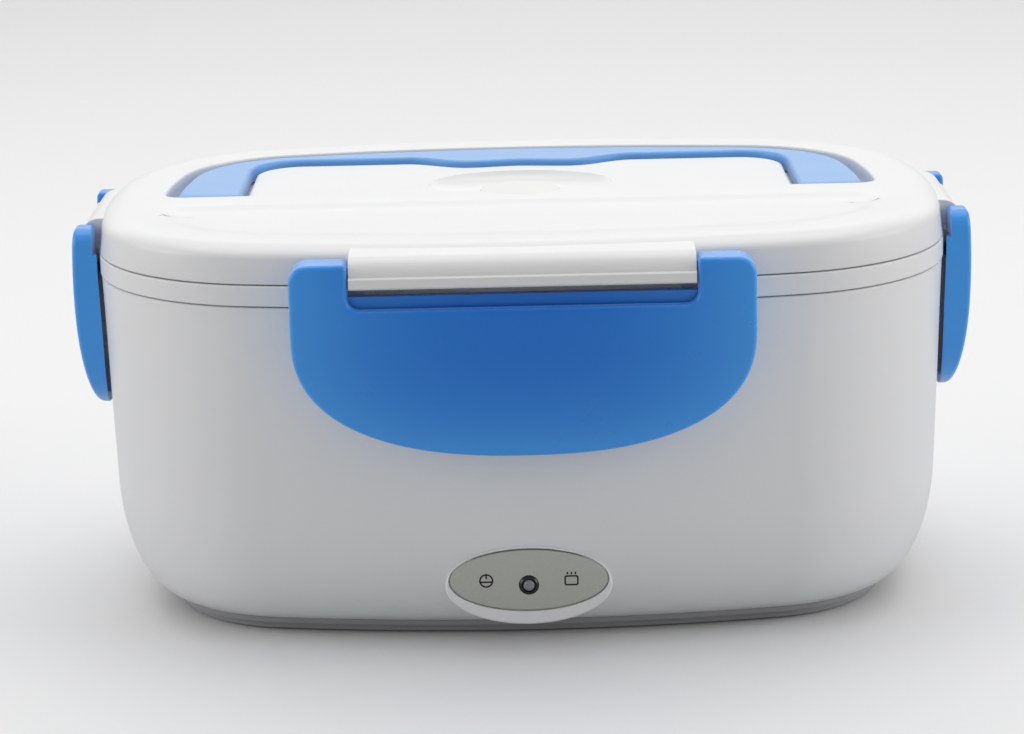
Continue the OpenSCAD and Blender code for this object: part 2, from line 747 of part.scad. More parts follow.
// Compartment to the right of x0, t inside the tray's outer face
module compartment(x0, t, top) {
    loft(concat(
        [for (a = tray_steps) let (p = tray_turn(t, a))
            lift(end_outline(p[0], x0 + (tray_round - t) * (1 - cos(a)), divider_r), p[1])],
        [lift(end_outline(tray_in(tray_rim_low) + t, x0 - 1, divider_r + 1), top)]));
}
module food_tray() {
    place() color(tint) difference() {
        oval_loft(concat([for (a = tray_steps) tray_turn(0, a)],
            [[tray_in(tray_rim_low), tray_rim_low], [land_w + gap, tray_rim_low],
             [land_w + gap, tray_top]]));
        compartment(divider_x + divider_t / 2, tray_wall, tray_top + eps);
        mirror([1, 0, 0]) compartment(-divider_x + divider_t / 2, tray_wall, tray_top + eps);
    }
}
cup_t = tray_wall + cup_gap;
cup_x = divider_x + divider_t / 2 + cup_gap;
cup_top = tray_top - cup_low;
// Compartment lowered onto the tray's floor
module cup(x0, t, top) {
    drop = cup_gap - gap;
    translate([0, 0, -drop]) compartment(x0, t, top + drop);
}
module removable_container() {
    place() color(tint) difference() {
        union() {
            cup(cup_x, cup_t, cup_top);
            // Rolled rim
            translate([0, 0, cup_top - 2])
                linear_extrude(2) polygon(end_outline(tray_in(cup_top) + cup_t - 0.7, cup_x - 1.4, divider_r));
        }
        difference() {
            cup(cup_x + tray_wall, cup_t + tray_wall, cup_top + eps);
            // Two finger tabs inside the rim
            for (s = [-1, 1]) translate([(cup_x + half_l - 12) / 2, s * (half_d - 14), cup_top - 1.6])
                cylinder(d = 20, h = 1.6);
        }
    }
}

// ---------------------------------------------------------------- lid
lid_in = 0.2;
edge_z = lid_top - edge_h;
edge_in = lid_in + tan(lid_draft) * (edge_z - lid_low);
edge_steps = [0, 20, 40, 62, 90];
lid_outside = concat([[lid_in, lid_low]],
    [for (a = edge_steps) [edge_in + edge_w * (1 - cos(a)), edge_z + edge_h * sin(a)]]);
ceiling = lid_top - panel_drop - skin;
lid_inside = [[lid_in + lid_wall, lid_low - eps], [edge_in + lid_wall, edge_z - 1],
    [edge_in + lid_wall + 1.2, ceiling]];
tub_low = recess_z - skin;
pin_reach = 4.5;

// Sides are numbered 0 front, 1 right, 2 back and 3 left
module on_side(k) {
    rotate([0, 0, 90 * k]) translate([0, -half_of(k), 0]) children();
}
function pick(k, front, other) = k == 0 ? front : other;
function half_of(k) = k % 2 == 0 ? half_d : half_l;
function width_of(k) = k % 2 == 0 ? latch_w : side_w;
function ear_of(k) = k % 2 == 0 ? ear_w : side_ear_w;
function hook_half(k) = width_of(k) / 2 - ear_of(k) - 4;
function bar_reach(k) = pick(k, bar_out, side_bar_out);
function bar_height(k) = pick(k, bar_h, side_bar_h);
function bar_top(k) = lid_top - 0.8 - pick(k, 0, side_drop);
function bar_low(k) = bar_top(k) - bar_height(k);
function bar_len(k) = width_of(k) - 2 * ear_of(k) - 0.8;
function pivot_out(k) = pick(k, hinge_out, side_hinge_out);
function pivot_z(k) = bar_low(k) + bar_height(k) / 2;
bar_round = 3.2;
bar_lip = 2.9;
bar_step = 0.8;
// Hinge bar with a stepped face, and a bore in each end
module hinge_bar(k) {
    low = bar_low(k);
    top = bar_top(k);
    face = -bar_reach(k) + bar_step;
    along_x(bar_len(k)) polygon(concat(
        [[7, low], [face - bar_step, low], [face - bar_step, low + bar_lip], [face, low + bar_lip]],
        arc([face + bar_round, top - bar_round], bar_round, 180, 90, 6), [[7, top]]));
}
module hinge_bores(k) {
    for (s = [-1, 1]) translate([s * (bar_len(k) / 2 - 4), -pivot_out(k), pivot_z(k)])
        rotate([0, 90, 0]) cylinder(d = hinge_d + 2 * play, h = 10, center = true);
}
module behind(y) {
    translate([-body_len, y, 0]) cube([2 * body_len, body_dep, 2 * lid_top]);
}
// Inner edge of the handle, c inside it
function wave(x) = swell * (x < 14 ? 1 - 0.11 * (1 + cos(180 * x / 14))
    : x < 32 ? 0.5 + 0.5 * cos(10 * (x - 14)) : 0);
arm_in = half_l - handle_in - arm_w;
bar_in = half_d - handle_in - bar_d;
wave_x = [0, 4, 8, 11, 14, 17, 20, 23, 26, 29, 32];
function inner_half(c) = concat([for (x = wave_x) [x, bar_in - c - wave(x)]],
    arc([arm_in - handle_r, bar_in - handle_r], handle_r - c, 90, 0, 6));
function mirrored(list) = [for (k = [len(list) - 1 : -1 : 0]) [-list[k].x, list[k].y]];
function inner_edge(c, y0) = let (h = inner_half(c))
    concat([[-arm_in + c, y0]], mirrored(tail(h)), h, [[arm_in - c, y0]]);

seat_z = lid_top - 0.4 - plug_t - gap;
module vent_seat() {
    translate([0, plug_y, tub_low]) cylinder(d = plug_d - 1, h = seat_z - tub_low);
}
module tub() {
    intersection() {
        oval(oval_in - skin, tub_low, lid_top - 1.5);
        behind(ridge_back - skin);
    }
    vent_seat();
    for (s = [-1, 1]) translate([s * (half_l - oval_in + pin_reach - 0.5), pivot_y, 0])
        translate([-4, -5, tub_low]) cube([8, 10, ceiling + 0.5 - tub_low]);
}
module recess() {
    difference() {
        intersection() {
            oval(oval_in, recess_z, lid_top + eps);
            behind(ridge_back);
        }
        translate([0, 0, recess_z - eps]) linear_extrude(deck_z - recess_z + eps)
            polygon(inner_edge(1.5, ridge_back - 1));
    }
}
module scoop() {
    steps = [[0.62, 0], [0.82, 0.25], [0.94, 0.6], [1, 1]];
    depth = scoop_drop - deck_drop;
    difference() {
        translate([0, scoop_y, 0]) loft([for (s = steps)
            lift(ellipse(scoop_w * s[0], scoop_d * s[0], 32), lid_top - scoop_drop + s[1] * (depth + eps))]);
        vent_seat();
    }
}
module lid_shell() {
    place() color(white) difference() {
        union() {
            oval_loft(lid_outside);
            for (k = [0 : 3]) on_side(k) hinge_bar(k);
        }
        difference() {
            oval_loft(lid_inside);
            tub();
        }
        // Shallow panel in front of the ridge
        intersection() {
            oval(oval_in, lid_top - panel_drop, lid_top + eps);
            translate([-body_len, ridge_front - body_dep, 0]) cube([2 * body_len, body_dep, 2 * lid_top]);
        }
        recess();
        scoop();
        // Round gap of the plug in the ridge
        translate([0, plug_y, seat_z]) cylinder(d = plug_d + 1, h = 5);
        translate([0, plug_y, tub_low - eps]) cylinder(d = stem_d + 2 * stem_gap, h = 8);
        // Cores under the deck, beside the scoop
        for (s = [-1, 1]) translate([s * (scoop_w + arm_in) / 2 + s, (bar_in - 3) / 2, 0])
            rounded_block(arm_in - scoop_w - 8, bar_in - 9, 4, tub_low - eps, deck_z - skin);
        for (k = [0 : 3]) on_side(k) hinge_bores(k);
        // Bores of the handle's pivots
        for (s = [-1, 1]) translate([s * (half_l - oval_in + pin_reach / 2), pivot_y, handle_z])
            rotate([0, 90, 0]) cylinder(d = pivot_d + 2 * play, h = pin_reach + 1, center = true);
    }
}
seal_in = land_w + 1.4;
rib_t = 1.2;
module lid_inner() {
    place() color(white) difference() {
        union() {
            oval(edge_in + lid_wall - 0.2, inner_low, inner_top);
            oval_ring(seal_in - rib_t + 0.2, seal_in, inner_low - 0.5, inner_low + eps);
            oval_ring(seal_in + seal_w, seal_in + seal_w + rib_t, inner_low - 0.5, inner_low + eps);
        }
        oval_ring(seal_in, seal_in + seal_w, inner_low - 1, inner_low + groove_d);
        translate([0, plug_y, inner_low - eps]) cylinder(d = stem_d + 2 * stem_gap, h = 4);
    }
}
module seal_ring() {
    place() color("#E6E6E2") difference() {
        oval_ring(seal_in, seal_in + seal_w, seal_low, inner_low + groove_d);
        oval_ring(seal_in + 1.4, seal_in + seal_w - 1.4, seal_low - eps, seal_low + 0.9);
    }
}
module vent_plug() {
    cap_z = seat_z + gap;
    place() color("#ECECEA") translate([0, plug_y, 0]) {
        translate([0, 0, cap_z]) rotate_extrude() polygon(concat([[0, 0], [plug_d / 2, 0]],
            arc([plug_d / 2 - 1.2, plug_t - 1.2], 1.2, 0, 90, 4), [[0, plug_t]]));
        translate([0, 0, inner_low - 1.4]) cylinder(d = stem_d, h = cap_z - inner_low + 1.6);
    }
}

// ---------------------------------------------------------------- handle
module handle() {
    q = quarter(handle_in);
    outer = concat([[half_l - handle_in, pivot_y]], q, mirrored([for (k = [0 : len(q) - 2]) q[k]]),
        [[-half_l + handle_in, pivot_y]]);
    place() color(blue) {
        translate([0, 0, handle_z - handle_t / 2]) linear_extrude(handle_t)
            polygon(concat(outer, inner_edge(0, pivot_y)));
        for (s = [-1, 1]) translate([s * (half_l - handle_in - arm_w / 2), pivot_y, handle_z])
            rotate([0, 90, 0]) cylinder(d = handle_t, h = arm_w, center = true);
        for (s = [-1, 1])
            translate([s * (half_l - (handle_in + 1 + oval_in - pin_reach + 0.2) / 2), pivot_y, handle_z])
            rotate([0, 90, 0])
            cylinder(d = pivot_d, h = handle_in + 1 - oval_in + pin_reach - 0.2, center = true);
    }
}

// ---------------------------------------------------------------- latches
hook_top = catch_low - gap;
function latch_top(k) = lid_top - 2 - pick(k, 0, side_drop);
function latch_low(k) = latch_top(k) - pick(k, latch_h, side_h);
function latch_reach(k) = pick(k, latch_out, side_out);
// Reach of a latch's face at height z
function face(k, z) = latch_reach(k) - pow(z - latch_top(k) + crown, 2) / (2 * face_r);
// Radius about the pivot that the hinge bar stays within
function bar_swing(k) = norm([bar_reach(k) - pivot_out(k), bar_height(k) / 2]) + gap;
bulge = 2 / 2.4;
// Front view of a latch, t inside its edge
function flap(k, t, top, r) =
    let (a = width_of(k) / 2 - t, b = flap_h - t, z = latch_low(k) + flap_h)
    concat([for (d = [180 : 9 : 360])
        [a * sign(cos(d)) * pow(abs(cos(d)), bulge), z - b * pow(abs(sin(d)), bulge)]],
        arc([a - r, top - r], r, 0, 90, 5), arc([r - a, top - r], r, 90, 180, 5));
// Side view of a latch's outer face, t inside it
face_steps = 12;
function face_line(k, t, z0, z1) = [for (n = [0 : face_steps])
    let (z = z0 + (z1 - z0) * n / face_steps) [-face(k, z) + t, z]];
ear_back = 0.5;
ear_edge = 1.2;
low_r = 3.6;
module latch_side(k) {
    top = latch_top(k);
    low = latch_low(k);
    arc_z = low + low_r + 0.4;
    polygon(concat(
        arc([-face(k, arc_z) + low_r, arc_z], low_r, 270, 180, 6),
        tail(face_line(k, 0, arc_z, top - 1.6)),
        [[-face(k, top) + 0.5, top - 0.5], [-face(k, top) + 1.6, top]],
        arc([ear_back - ear_edge, top - ear_edge], ear_edge, 90, 0, 4),
        [[ear_back, rim_top - 0.2], [7, rim_top - 0.2], [7, low + 0.4]]));
}
web_in = catch_out + 0.6;
web_t = 1.6;
// Room for the hinge bar between the ears, and the recess in the face below it
module bar_room(k) {
    w = width_of(k) - 2 * ear_of(k);
    swing = bar_swing(k);
    low = bar_low(k) - notch_h + notch_r;
    along_x(w) {
        translate([-pivot_out(k), pivot_z(k)]) circle(r = swing);
        translate([-web_in, pivot_z(k) - swing]) square(20);
        translate([-20, pivot_z(k) - swing / 2]) square([40, 20]);
    }
    along_y(-latch_out - 2, -latch_reach(k) + notch_t) polygon(concat(
        arc([notch_r - w / 2, low], notch_r, 180, 270, 5),
        arc([w / 2 - notch_r, low], notch_r, 270, 360, 5),
        [[w / 2, pivot_z(k)], [-w / 2, pivot_z(k)]]));
}
module latch_hollow(k) {
    web_low = pivot_z(k) - bar_swing(k) - web_t;
    intersection() {
        along_y(-latch_out, 9)
            polygon(flap(k, latch_wall, pivot_z(k) - bar_swing(k) + 0.3, 2));
        along_x(width_of(k)) polygon(concat(face_line(k, latch_wall, latch_low(k), web_low),
            [[-web_in, web_low], [-web_in, rim_top], [9, rim_top], [9, latch_low(k)]]));
    }
}
// Body of the box, c away, between two heights
module wall(k, c, z0, z1) {
    translate([0, half_of(k), 0]) rotate([0, 0, 90 * (k % 2)]) oval(-c, z0, z1);
}
rib_low = 14;
rib_taper = 8;
rib_out = 1.5;
module latch(k) {
    w = width_of(k);
    hook = hook_half(k);
    hook_low = hook_top - hook_h;
    place() color(blue) on_side(k) {
        difference() {
            intersection() {
                along_y(-latch_out - 1, 8) polygon(flap(k, 0, latch_top(k), ear_r));
                along_x(w + 2) latch_side(k);
            }
            bar_room(k);
            latch_hollow(k);
            // Room for the rim, and for the shell's side below it
            wall(k, latch_gap, shell_top - 1, rim_top + 0.2);
            translate([0, 0, shell_top]) rotate([shell_draft, 0, 0])
                translate([0, 0, -shell_top]) wall(k, latch_gap, latch_low(k) - 3, shell_top);
        }
        // Hook under the catch rib, and ribs that stiffen the face clear of that rib's way up
        difference() {
            translate([-hook, -face(k, hook_low) + latch_wall - 0.8, hook_low])
                cube([2 * hook, 12, hook_h]);
            wall(k, 0.5, hook_low - 1, hook_top + 1);
        }
        for (x = pick(k, [-hook - rib_out, 0, hook + rib_out], [-hook - rib_out, hook + rib_out]))
            let (inner = (x == 0 ? catch_out : latch_gap) + gap)
            translate([x, 0, 0]) along_x(1.6) polygon(concat(
                face_line(k, latch_wall - 0.8, latch_low(k) + rib_low, hook_low + eps),
                [[-inner, hook_low + eps], [-inner, latch_low(k) + rib_low + rib_taper]]));
        // Pivot pins, moulded on the ears
        for (s = [-1, 1]) translate([s * (w / 2 - ear_of(k) - 3.5), -pivot_out(k), pivot_z(k)])
            rotate([0, 90, 0]) cylinder(d = hinge_d, h = 9, center = true);
    }
}

outer_shell();
inner_liner();
base_cover();
base_screws();
rubber_feet();
heating_plate();
plate_gasket();
heating_element();
heater_clamp();
clamp_screws();
thermal_cutout();
inner_wires();
inlet_socket();
contact_pins();
badge_plate();
lamp_ring();
lamp();
food_tray();
removable_container();
lid_shell();
lid_inner();
seal_ring();
vent_plug();
handle();
latch(0);  // latch_front
latch(2);  // latch_back
latch(3);  // latch_left
latch(1);  // latch_right
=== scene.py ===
"""Electric lunch box: an oval heated base, a lift-off lid with a folding handle, and four snap latches.

Lengths are in millimetres until mesh_object() turns them to metres. The frame is the CAD's: +Z up, and
the front towards -Y.
"""
import math

import bmesh
import bpy
import numpy as np
from mathutils import Matrix, Vector


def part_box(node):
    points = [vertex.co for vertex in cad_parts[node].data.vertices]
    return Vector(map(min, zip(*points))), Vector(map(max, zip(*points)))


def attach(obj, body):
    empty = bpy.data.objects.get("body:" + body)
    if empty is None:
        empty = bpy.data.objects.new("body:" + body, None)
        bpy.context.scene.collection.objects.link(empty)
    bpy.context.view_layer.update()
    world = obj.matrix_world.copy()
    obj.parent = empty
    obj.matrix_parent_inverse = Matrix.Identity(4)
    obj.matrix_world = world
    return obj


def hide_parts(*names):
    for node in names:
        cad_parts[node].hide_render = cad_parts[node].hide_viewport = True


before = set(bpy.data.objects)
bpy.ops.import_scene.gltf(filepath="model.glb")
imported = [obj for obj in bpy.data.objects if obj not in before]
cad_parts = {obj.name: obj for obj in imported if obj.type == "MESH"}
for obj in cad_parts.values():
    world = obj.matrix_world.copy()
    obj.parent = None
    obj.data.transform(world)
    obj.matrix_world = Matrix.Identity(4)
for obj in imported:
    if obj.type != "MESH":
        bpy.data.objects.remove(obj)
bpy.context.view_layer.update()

MM = 0.001


def top(node):
    """Highest point of a CAD node, in millimetres."""
    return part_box(node)[1].z / MM


def low(node):
    """Lowest point of a CAD node, in millimetres."""
    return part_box(node)[0].z / MM


# ------------------------ sizes
# Oval of the rim band, and the radii of its long sides, ends and corners
BODY_LEN, BODY_DEP = 224, 156
LONG_R, END_R, CORNER_R = 380, 180, 51
HALF_L, HALF_D = BODY_LEN / 2, BODY_DEP / 2

# Outer shell: set back under the band and drafted, with a seam above and a round edge below
SHELL_TOP, SHELL_LOW, SHELL_WALL = top("outer_shell"), low("outer_shell"), 2.2
SHELL_BACK, SHELL_DRAFT, SEAM = 0.3, 1.7, 0.35
ROUND_W, ROUND_H = 15, 32
# Bosses for the badge and the inlet, with faces at the same distance from the middle
BOSS_Y, BOSS_W, BOSS_H, BOSS_DROP = HALF_D - 1.2, 42, 20.3, 1.6
BOSS_EDGE, BOSS_ROOT = 0.7, 9
BADGE_W, BADGE_H, BADGE_T, BADGE_Z = 40.4, 16.5, 1, 19.2
# Printed marks on the badge: their distance from its middle, line and ink, and the sizes of both signs
MARK_X, MARK_LINE, PRINT_T = 10.7, 0.42, 0.03
DISH_R, POT_W, POT_H, POT_R = 1.8, 3.6, 2.7, 0.6
LAMP_Z, RING_D, LAMP_D = BADGE_Z - 1.3, 5, 3
# Power inlet: its socket's inside and wall, and how much wider and higher its boss is
INLET_Z, INLET_W, INLET_H, INLET_WALL, INLET_R = 17.2, 20.4, 9.6, 1.6, 4
INLET_EDGE, INLET_MORE_W, INLET_MORE_H = 0.9, 7, 4.6

# Rim band and liner: the land under the lid, the ledge of the tray, and the space for the food
RIM_TOP = top("inner_liner")
LAND_W, LEDGE_DROP, LEDGE_W = 4, 2.4, 5
LINER_WALL, LINER_DRAFT, LINER_FLOOR, LINER_ROUND = 2, 1.6, 26, 10
# Catch ribs, and two heights that the ribs and the hooks lie between
CATCH_OUT, CATCH_LOW, CATCH_H = 2, SHELL_TOP + 0.5, 3.6
CATCH_SPAN = 80, 100
# Heating plate: its gap to the liner, the depth of its seat and the width of its edge on the gasket
PLATE_LEN, PLATE_DEP, PLATE_R, PLATE_GAP, PLATE_SINK, PLATE_EDGE = 100, 70, 12, 0.3, 1.2, 6

TRAY_TOP, TRAY_LOW, TRAY_WALL, TRAY_RIM, TRAY_ROUND = top("food_tray"), low("food_tray"), 1.3, 1.5, 12
TRAY_GAP, TRAY_DRAFT = 0.5, 3
DIVIDER_X, DIVIDER_T, DIVIDER_R = 34, 3, 12
# Container: how far its rim lies under the tray's, its gap to the tray, its lip and its two finger tabs
CUP_LOW, CUP_GAP, LIP_H, LIP_OUT = 2, 1.2, 2, 0.7
TAB_R, TAB_DROP, TAB_X, TAB_Y = 10, 1.6, HALF_L - 12, HALF_D - 14

# Lid: skirt, round edge, panel in front of the ridge and recess behind it
LID_TOP = top("lid_shell")
LID_SKIRT = RIM_TOP + 0.3
LID_WALL, LID_DRAFT, EDGE_W, EDGE_H = 2.2, 8, 7, 3.6
OVAL_IN, PANEL_DROP, PANEL_R, RECESS_R = 17, 1, 9, 5
RIDGE_FRONT, RIDGE_BACK = -18, -5
RECESS_Z, DECK_Z, DECK_GAP = LID_TOP - 5.1, LID_TOP - 1.8, 1.5
SCOOP_W, SCOOP_D, SCOOP_Y, SCOOP_DROP = 25, 18, 15, 4.4
# Slopes, as pairs of inset and drop: soft at the panel, short at the recess and the deck
PANEL_SLOPE = [(7.6, PANEL_DROP), (6.6, PANEL_DROP), (5, 0.95), (3.6, 0.83), (2.4, 0.66), (1.3, 0.44),
               (0.4, 0.24), (-0.4, 0.1), (-1, 0.03), (-2, -0.04), (-3, -0.3)]
RECESS_EDGE = [(0, 0.6), (-0.18, 0.18), (-0.6, -0.02), (-1.2, -0.3)]
DECK_EDGE = [(0, 0.9), (0.26, 0.26), (0.9, 0)]
# Bowl of the scoop, as pairs of its share of the outline and of the depth
SCOOP_BOWL = [(0.62, 0), (0.72, 0.04), (0.82, 0.16), (0.9, 0.34), (0.96, 0.62), (1, 1), (1.03, 1.3)]
# Vent plug: a cap on a stem, on a seat in its pocket
PLUG_D, PLUG_T, PLUG_Y, PLUG_GAP, STEM_D, STEM_HOLE = 22, 2.2, 0.5, 0.5, 7.8, 8
PLUG_CROWN = [(0, 1.2), (0.16, 0.6), (0.6, 0.16), (1.2, 0.03), (4, 0)]
SEAT_Z = LID_TOP - 0.4 - PLUG_T - 0.3

# Handle: two arms, and a crossbar whose swell dips in its middle and ends at SWELL_END
HANDLE_IN, ARM_W, BAR_D, HANDLE_T, HANDLE_R, HANDLE_EDGE = 20.4, 16.8, 11.4, 4.5, 14, 1.1
BAR_BACK = 59.6
SWELL, SWELL_PEAK, SWELL_END, SWELL_DIP = 7.5, 14, 32, 0.11
HANDLE_LOW = RECESS_Z + 0.3
PIVOT_Y, PIVOT_D, PIVOT_REACH = -2, 3, 4.3
# Room round a pin in its bore, and how far even shading follows the larger faces
PLAY, AREA_WEIGHT = 0.05, 90

# Latches: a curved face with a round flap below, ears above, and a hook behind
LATCH_WALL, LATCH_GAP, FACE_R, CROWN, FLAP_H, EAR_R, EDGE_R = 2.3, 0.9, 200, 15, 31.5, 4.5, 1.2
FLAP_POWER, FLAP_STEPS, EAR_STEPS, NOTCH_R = 2.4, 60, 10, 3
HOOK_H, HOOK_TOP, WEB_IN = 3, CATCH_LOW - 0.3, CATCH_OUT + 0.6
RIB_T, RIB_ROOT = 1.6, 0.8
# Hinge bars between the ears, and the pins that the latches turn on
BAR_ROUND, BAR_STEP, BAR_LIP, BAR_ROOT, BAR_PLAY = 5, 0.8, 2.9, 7, 0.4
HINGE_D, PIN_LEN = 2.8, 9


class Side:
    """Sizes of one latch and of the hinge bar it turns on; k is 0 front, 1 right, 2 back and 3 left."""

    def __init__(self, k):
        front = k == 0
        drop = 0 if front else 1.4
        self.k = k
        self.half = HALF_D if k % 2 == 0 else HALF_L
        self.width, self.ear = (113.6, 14.2) if k % 2 == 0 else (62, 10)
        self.room = self.width / 2 - self.ear
        self.hook = self.room - 4
        self.reach, self.bar_out, self.pivot_out = (9.3, 8.6, 4) if front else (4.9, 4.2, 1.2)
        self.bar_h = 7.5 if front else 6.6
        self.bar_top = LID_TOP - 0.8 - drop
        self.bar_low = self.bar_top - self.bar_h
        self.pivot_z = self.bar_low + self.bar_h / 2
        self.top = LID_TOP - 2 - drop
        self.low = self.top - (49.5 if front else 51.8)
        self.swing = math.hypot(self.bar_out - self.pivot_out, self.bar_h / 2) + 0.3
        self.notch_low = self.bar_low - (5 if front else 4.1)
        self.notch_depth = 3.2 if front else 1.2

    def face(self, z):
        """How far the latch's face stands out at the height z."""
        return self.reach - (z - self.top + CROWN) ** 2 / (2 * FACE_R)


SIDES = [Side(k) for k in range(4)]
SIDE_NAMES = ("front", "right", "back", "left")
# The origin lies under the middle of the overall size, and the front latch stands out furthest
MID_Y = (SIDES[0].reach - SIDES[2].reach) / 2


# ------------------------ outlines in a plane
def arc(centre, r, a0, a1, steps):
    """Points of a circle from angle a0 to a1, in degrees."""
    a = np.radians(np.linspace(a0, a1, steps + 1))
    return np.column_stack([centre[0] + r * np.cos(a), centre[1] + r * np.sin(a)])


def meet(p, rp, q, rq):
    """Middle of an arc that touches the circles round p and q."""
    d = math.hypot(q[0] - p[0], q[1] - p[1])
    a = (rp * rp - rq * rq + d * d) / (2 * d)
    h = math.sqrt(rp * rp - a * a)
    e = ((q[0] - p[0]) / d, (q[1] - p[1]) / d)
    return (p[0] + a * e[0] + h * e[1], p[1] + a * e[1] - h * e[0])


LONG_C = (0, HALF_D - LONG_R)
END_C = (HALF_L - END_R, 0)
CORNER_C = meet(LONG_C, LONG_R - CORNER_R, END_C, END_R - CORNER_R)
A_END = math.degrees(math.atan2(CORNER_C[1] - END_C[1], CORNER_C[0] - END_C[0]))
A_LONG = math.degrees(math.atan2(CORNER_C[1] - LONG_C[1], CORNER_C[0] - LONG_C[0]))


def upper_right(d, start=0.0, steps=(8, 24, 14)):
    """Quarter of the oval, d inside the rim band, from the angle start on its right end to its back."""
    return np.concatenate([
        arc(END_C, END_R - d, start, A_END, steps[0]),
        arc(CORNER_C, CORNER_R - d, A_END, A_LONG, steps[1])[1:],
        arc(LONG_C, LONG_R - d, A_LONG, 90, steps[2])[1:]])


def mirrored(points):
    """The points on the other side of X = 0, in reversed order."""
    return points[::-1] * [-1, 1]


def oval(d):
    """The oval, d inside the rim band."""
    half = upper_right(d)
    back = np.concatenate([half, mirrored(half)[1:]])
    return np.concatenate([back[:-1], -back[:-1]])


def d_shape(d, y0, r):
    """The part of that oval behind Y = y0, with corners of radius r."""
    reach = END_R - d
    cx = END_C[0] + math.sqrt((reach - r) ** 2 - (y0 + r) ** 2)
    af = math.degrees(math.atan2(y0 + r, cx - END_C[0]))
    half = np.concatenate([arc((cx, y0 + r), r, -90, af, 8), upper_right(d, af)[1:]])
    return np.concatenate([half, mirrored(half)[1:]])


def rounded(w, d, r, steps=8):
    """Rectangle with round corners."""
    x, y = w / 2 - r, d / 2 - r
    corners = [(x, y, 0), (-x, y, 90), (-x, -y, 180), (x, -y, 270)]
    return np.concatenate([arc((cx, cy), r, a, a + 90, steps) for cx, cy, a in corners])


def ellipse(a, b, steps=96):
    """Ellipse with the half axes a and b."""
    t = np.radians(np.arange(steps) * 360 / steps)
    return np.column_stack([a * np.cos(t), b * np.sin(t)])


def inset(points, d):
    """Closed outline moved inwards by d, point by point; it runs counter-clockwise."""
    before = points - np.roll(points, 1, axis=0)
    after = np.roll(points, -1, axis=0) - points
    n1 = np.column_stack([-before[:, 1], before[:, 0]])
    n2 = np.column_stack([-after[:, 1], after[:, 0]])
    n1 /= np.linalg.norm(n1, axis=1)[:, None]
    n2 /= np.linalg.norm(n2, axis=1)[:, None]
    share = 1 + np.sum(n1 * n2, axis=1)
    return points + d * (n1 + n2) / np.maximum(share, 0.3)[:, None]


def fillet(r, z, side=1, steps=5):
    """Round edge of radius r, as pairs of inset and height, that ends flush with the height z.

    side is 1 for an upper edge, read upwards, and -1 for a lower edge, read upwards too.
    """
    a = np.radians(np.linspace(0, 90, steps + 1))
    pairs = np.column_stack([r * (1 - np.cos(a)), z - side * r * (1 - np.sin(a))])
    return pairs if side > 0 else pairs[::-1]


# ------------------------ solids
def mesh_object(name, verts, faces):
    """Object from points in millimetres, its faces turned outwards.

    The recalculation can turn a flat dish inside out, which the sign of the volume shows.
    """
    mesh = bpy.data.meshes.new(name)
    mesh.from_pydata((np.asarray(verts, float) * MM).tolist(), [], faces)
    bm = bmesh.new()
    bm.from_mesh(mesh)
    bmesh.ops.remove_doubles(bm, verts=bm.verts, dist=1e-6)
    bmesh.ops.recalc_face_normals(bm, faces=bm.faces)
    if bm.calc_volume(signed=True) < 0:
        bmesh.ops.reverse_faces(bm, faces=bm.faces)
    bmesh.ops.triangulate(bm, faces=[f for f in bm.faces if len(f.verts) > 4])
    bm.to_mesh(mesh)
    bm.free()
    piece = bpy.data.objects.new(name, mesh)
    bpy.context.scene.collection.objects.link(piece)
    return piece


def loft(name, rings, closed=False):
    """Solid through rings of points. closed joins the last ring to the first, in place of two caps."""
    n, m = len(rings[0]), len(rings)
    verts = np.concatenate(rings)
    faces = []
    for k in range(m if closed else m - 1):
        a, b = k * n, (k + 1) % m * n
        faces += [(a + j, a + (j + 1) % n, b + (j + 1) % n, b + j) for j in range(n)]
    if not closed:
        faces += [tuple(range(n - 1, -1, -1)), tuple(range((m - 1) * n, m * n))]
    return mesh_object(name, verts, faces)


def at_height(points, z):
    """An outline in X and Y, at the height z."""
    return np.column_stack([points, np.full(len(points), z)])


def at_depth(points, y):
    """An outline in X and Z, at the depth y."""
    return np.column_stack([points[:, 0], np.full(len(points), y), points[:, 1]])


def oval_loft(name, profile, closed=False):
    """Solid through ovals, given as pairs of inset and height."""
    return loft(name, [at_height(oval(i), z) for i, z in profile], closed)


def upright(name, outline, profile):
    """Solid over an outline, through pairs of inset and height."""
    return loft(name, [at_height(inset(outline, i), z) for i, z in profile])


def facing(name, outline, profile):
    """Solid behind an outline in X and Z, through pairs of inset and depth."""
    return loft(name, [at_depth(inset(outline, i), y) for i, y in profile])


def block(name, low_corner, high_corner):
    """Cuboid between two corners."""
    (x0, y0, z0), (x1, y1, z1) = low_corner, high_corner
    ring = np.array([(x0, y0), (x1, y0), (x1, y1), (x0, y1)], float)
    return loft(name, [at_height(ring, z0), at_height(ring, z1)])


def along_x(name, outline, x0, x1):
    """Outline in Y and Z, swept from x0 to x1."""
    return loft(name, [np.column_stack([np.full(len(outline), x), outline]) for x in (x0, x1)])


def rod(name, start, end, r, steps=32):
    """Round bar between two points along X, Y or Z."""
    start, end = np.array(start, float), np.array(end, float)
    axis = int(np.argmax(np.abs(end - start)))
    ring = np.insert(ellipse(r, r, steps), axis, 0, axis=1)
    return loft(name, [start + ring, end + ring])


def combine(piece, operation, *tools):
    """Boolean of a piece with each tool in turn; the tools are used up."""
    for tool in tools:
        step = piece.modifiers.new(tool.name, "BOOLEAN")
        step.operation = operation
        step.object = tool
        step.solver = "MANIFOLD"
    graph = bpy.context.evaluated_depsgraph_get()
    mesh = bpy.data.meshes.new_from_object(piece.evaluated_get(graph))
    piece.modifiers.clear()
    piece.data = mesh
    for tool in tools:
        bpy.data.objects.remove(tool)
    return piece


def cut(piece, *tools):
    return combine(piece, "DIFFERENCE", *tools)


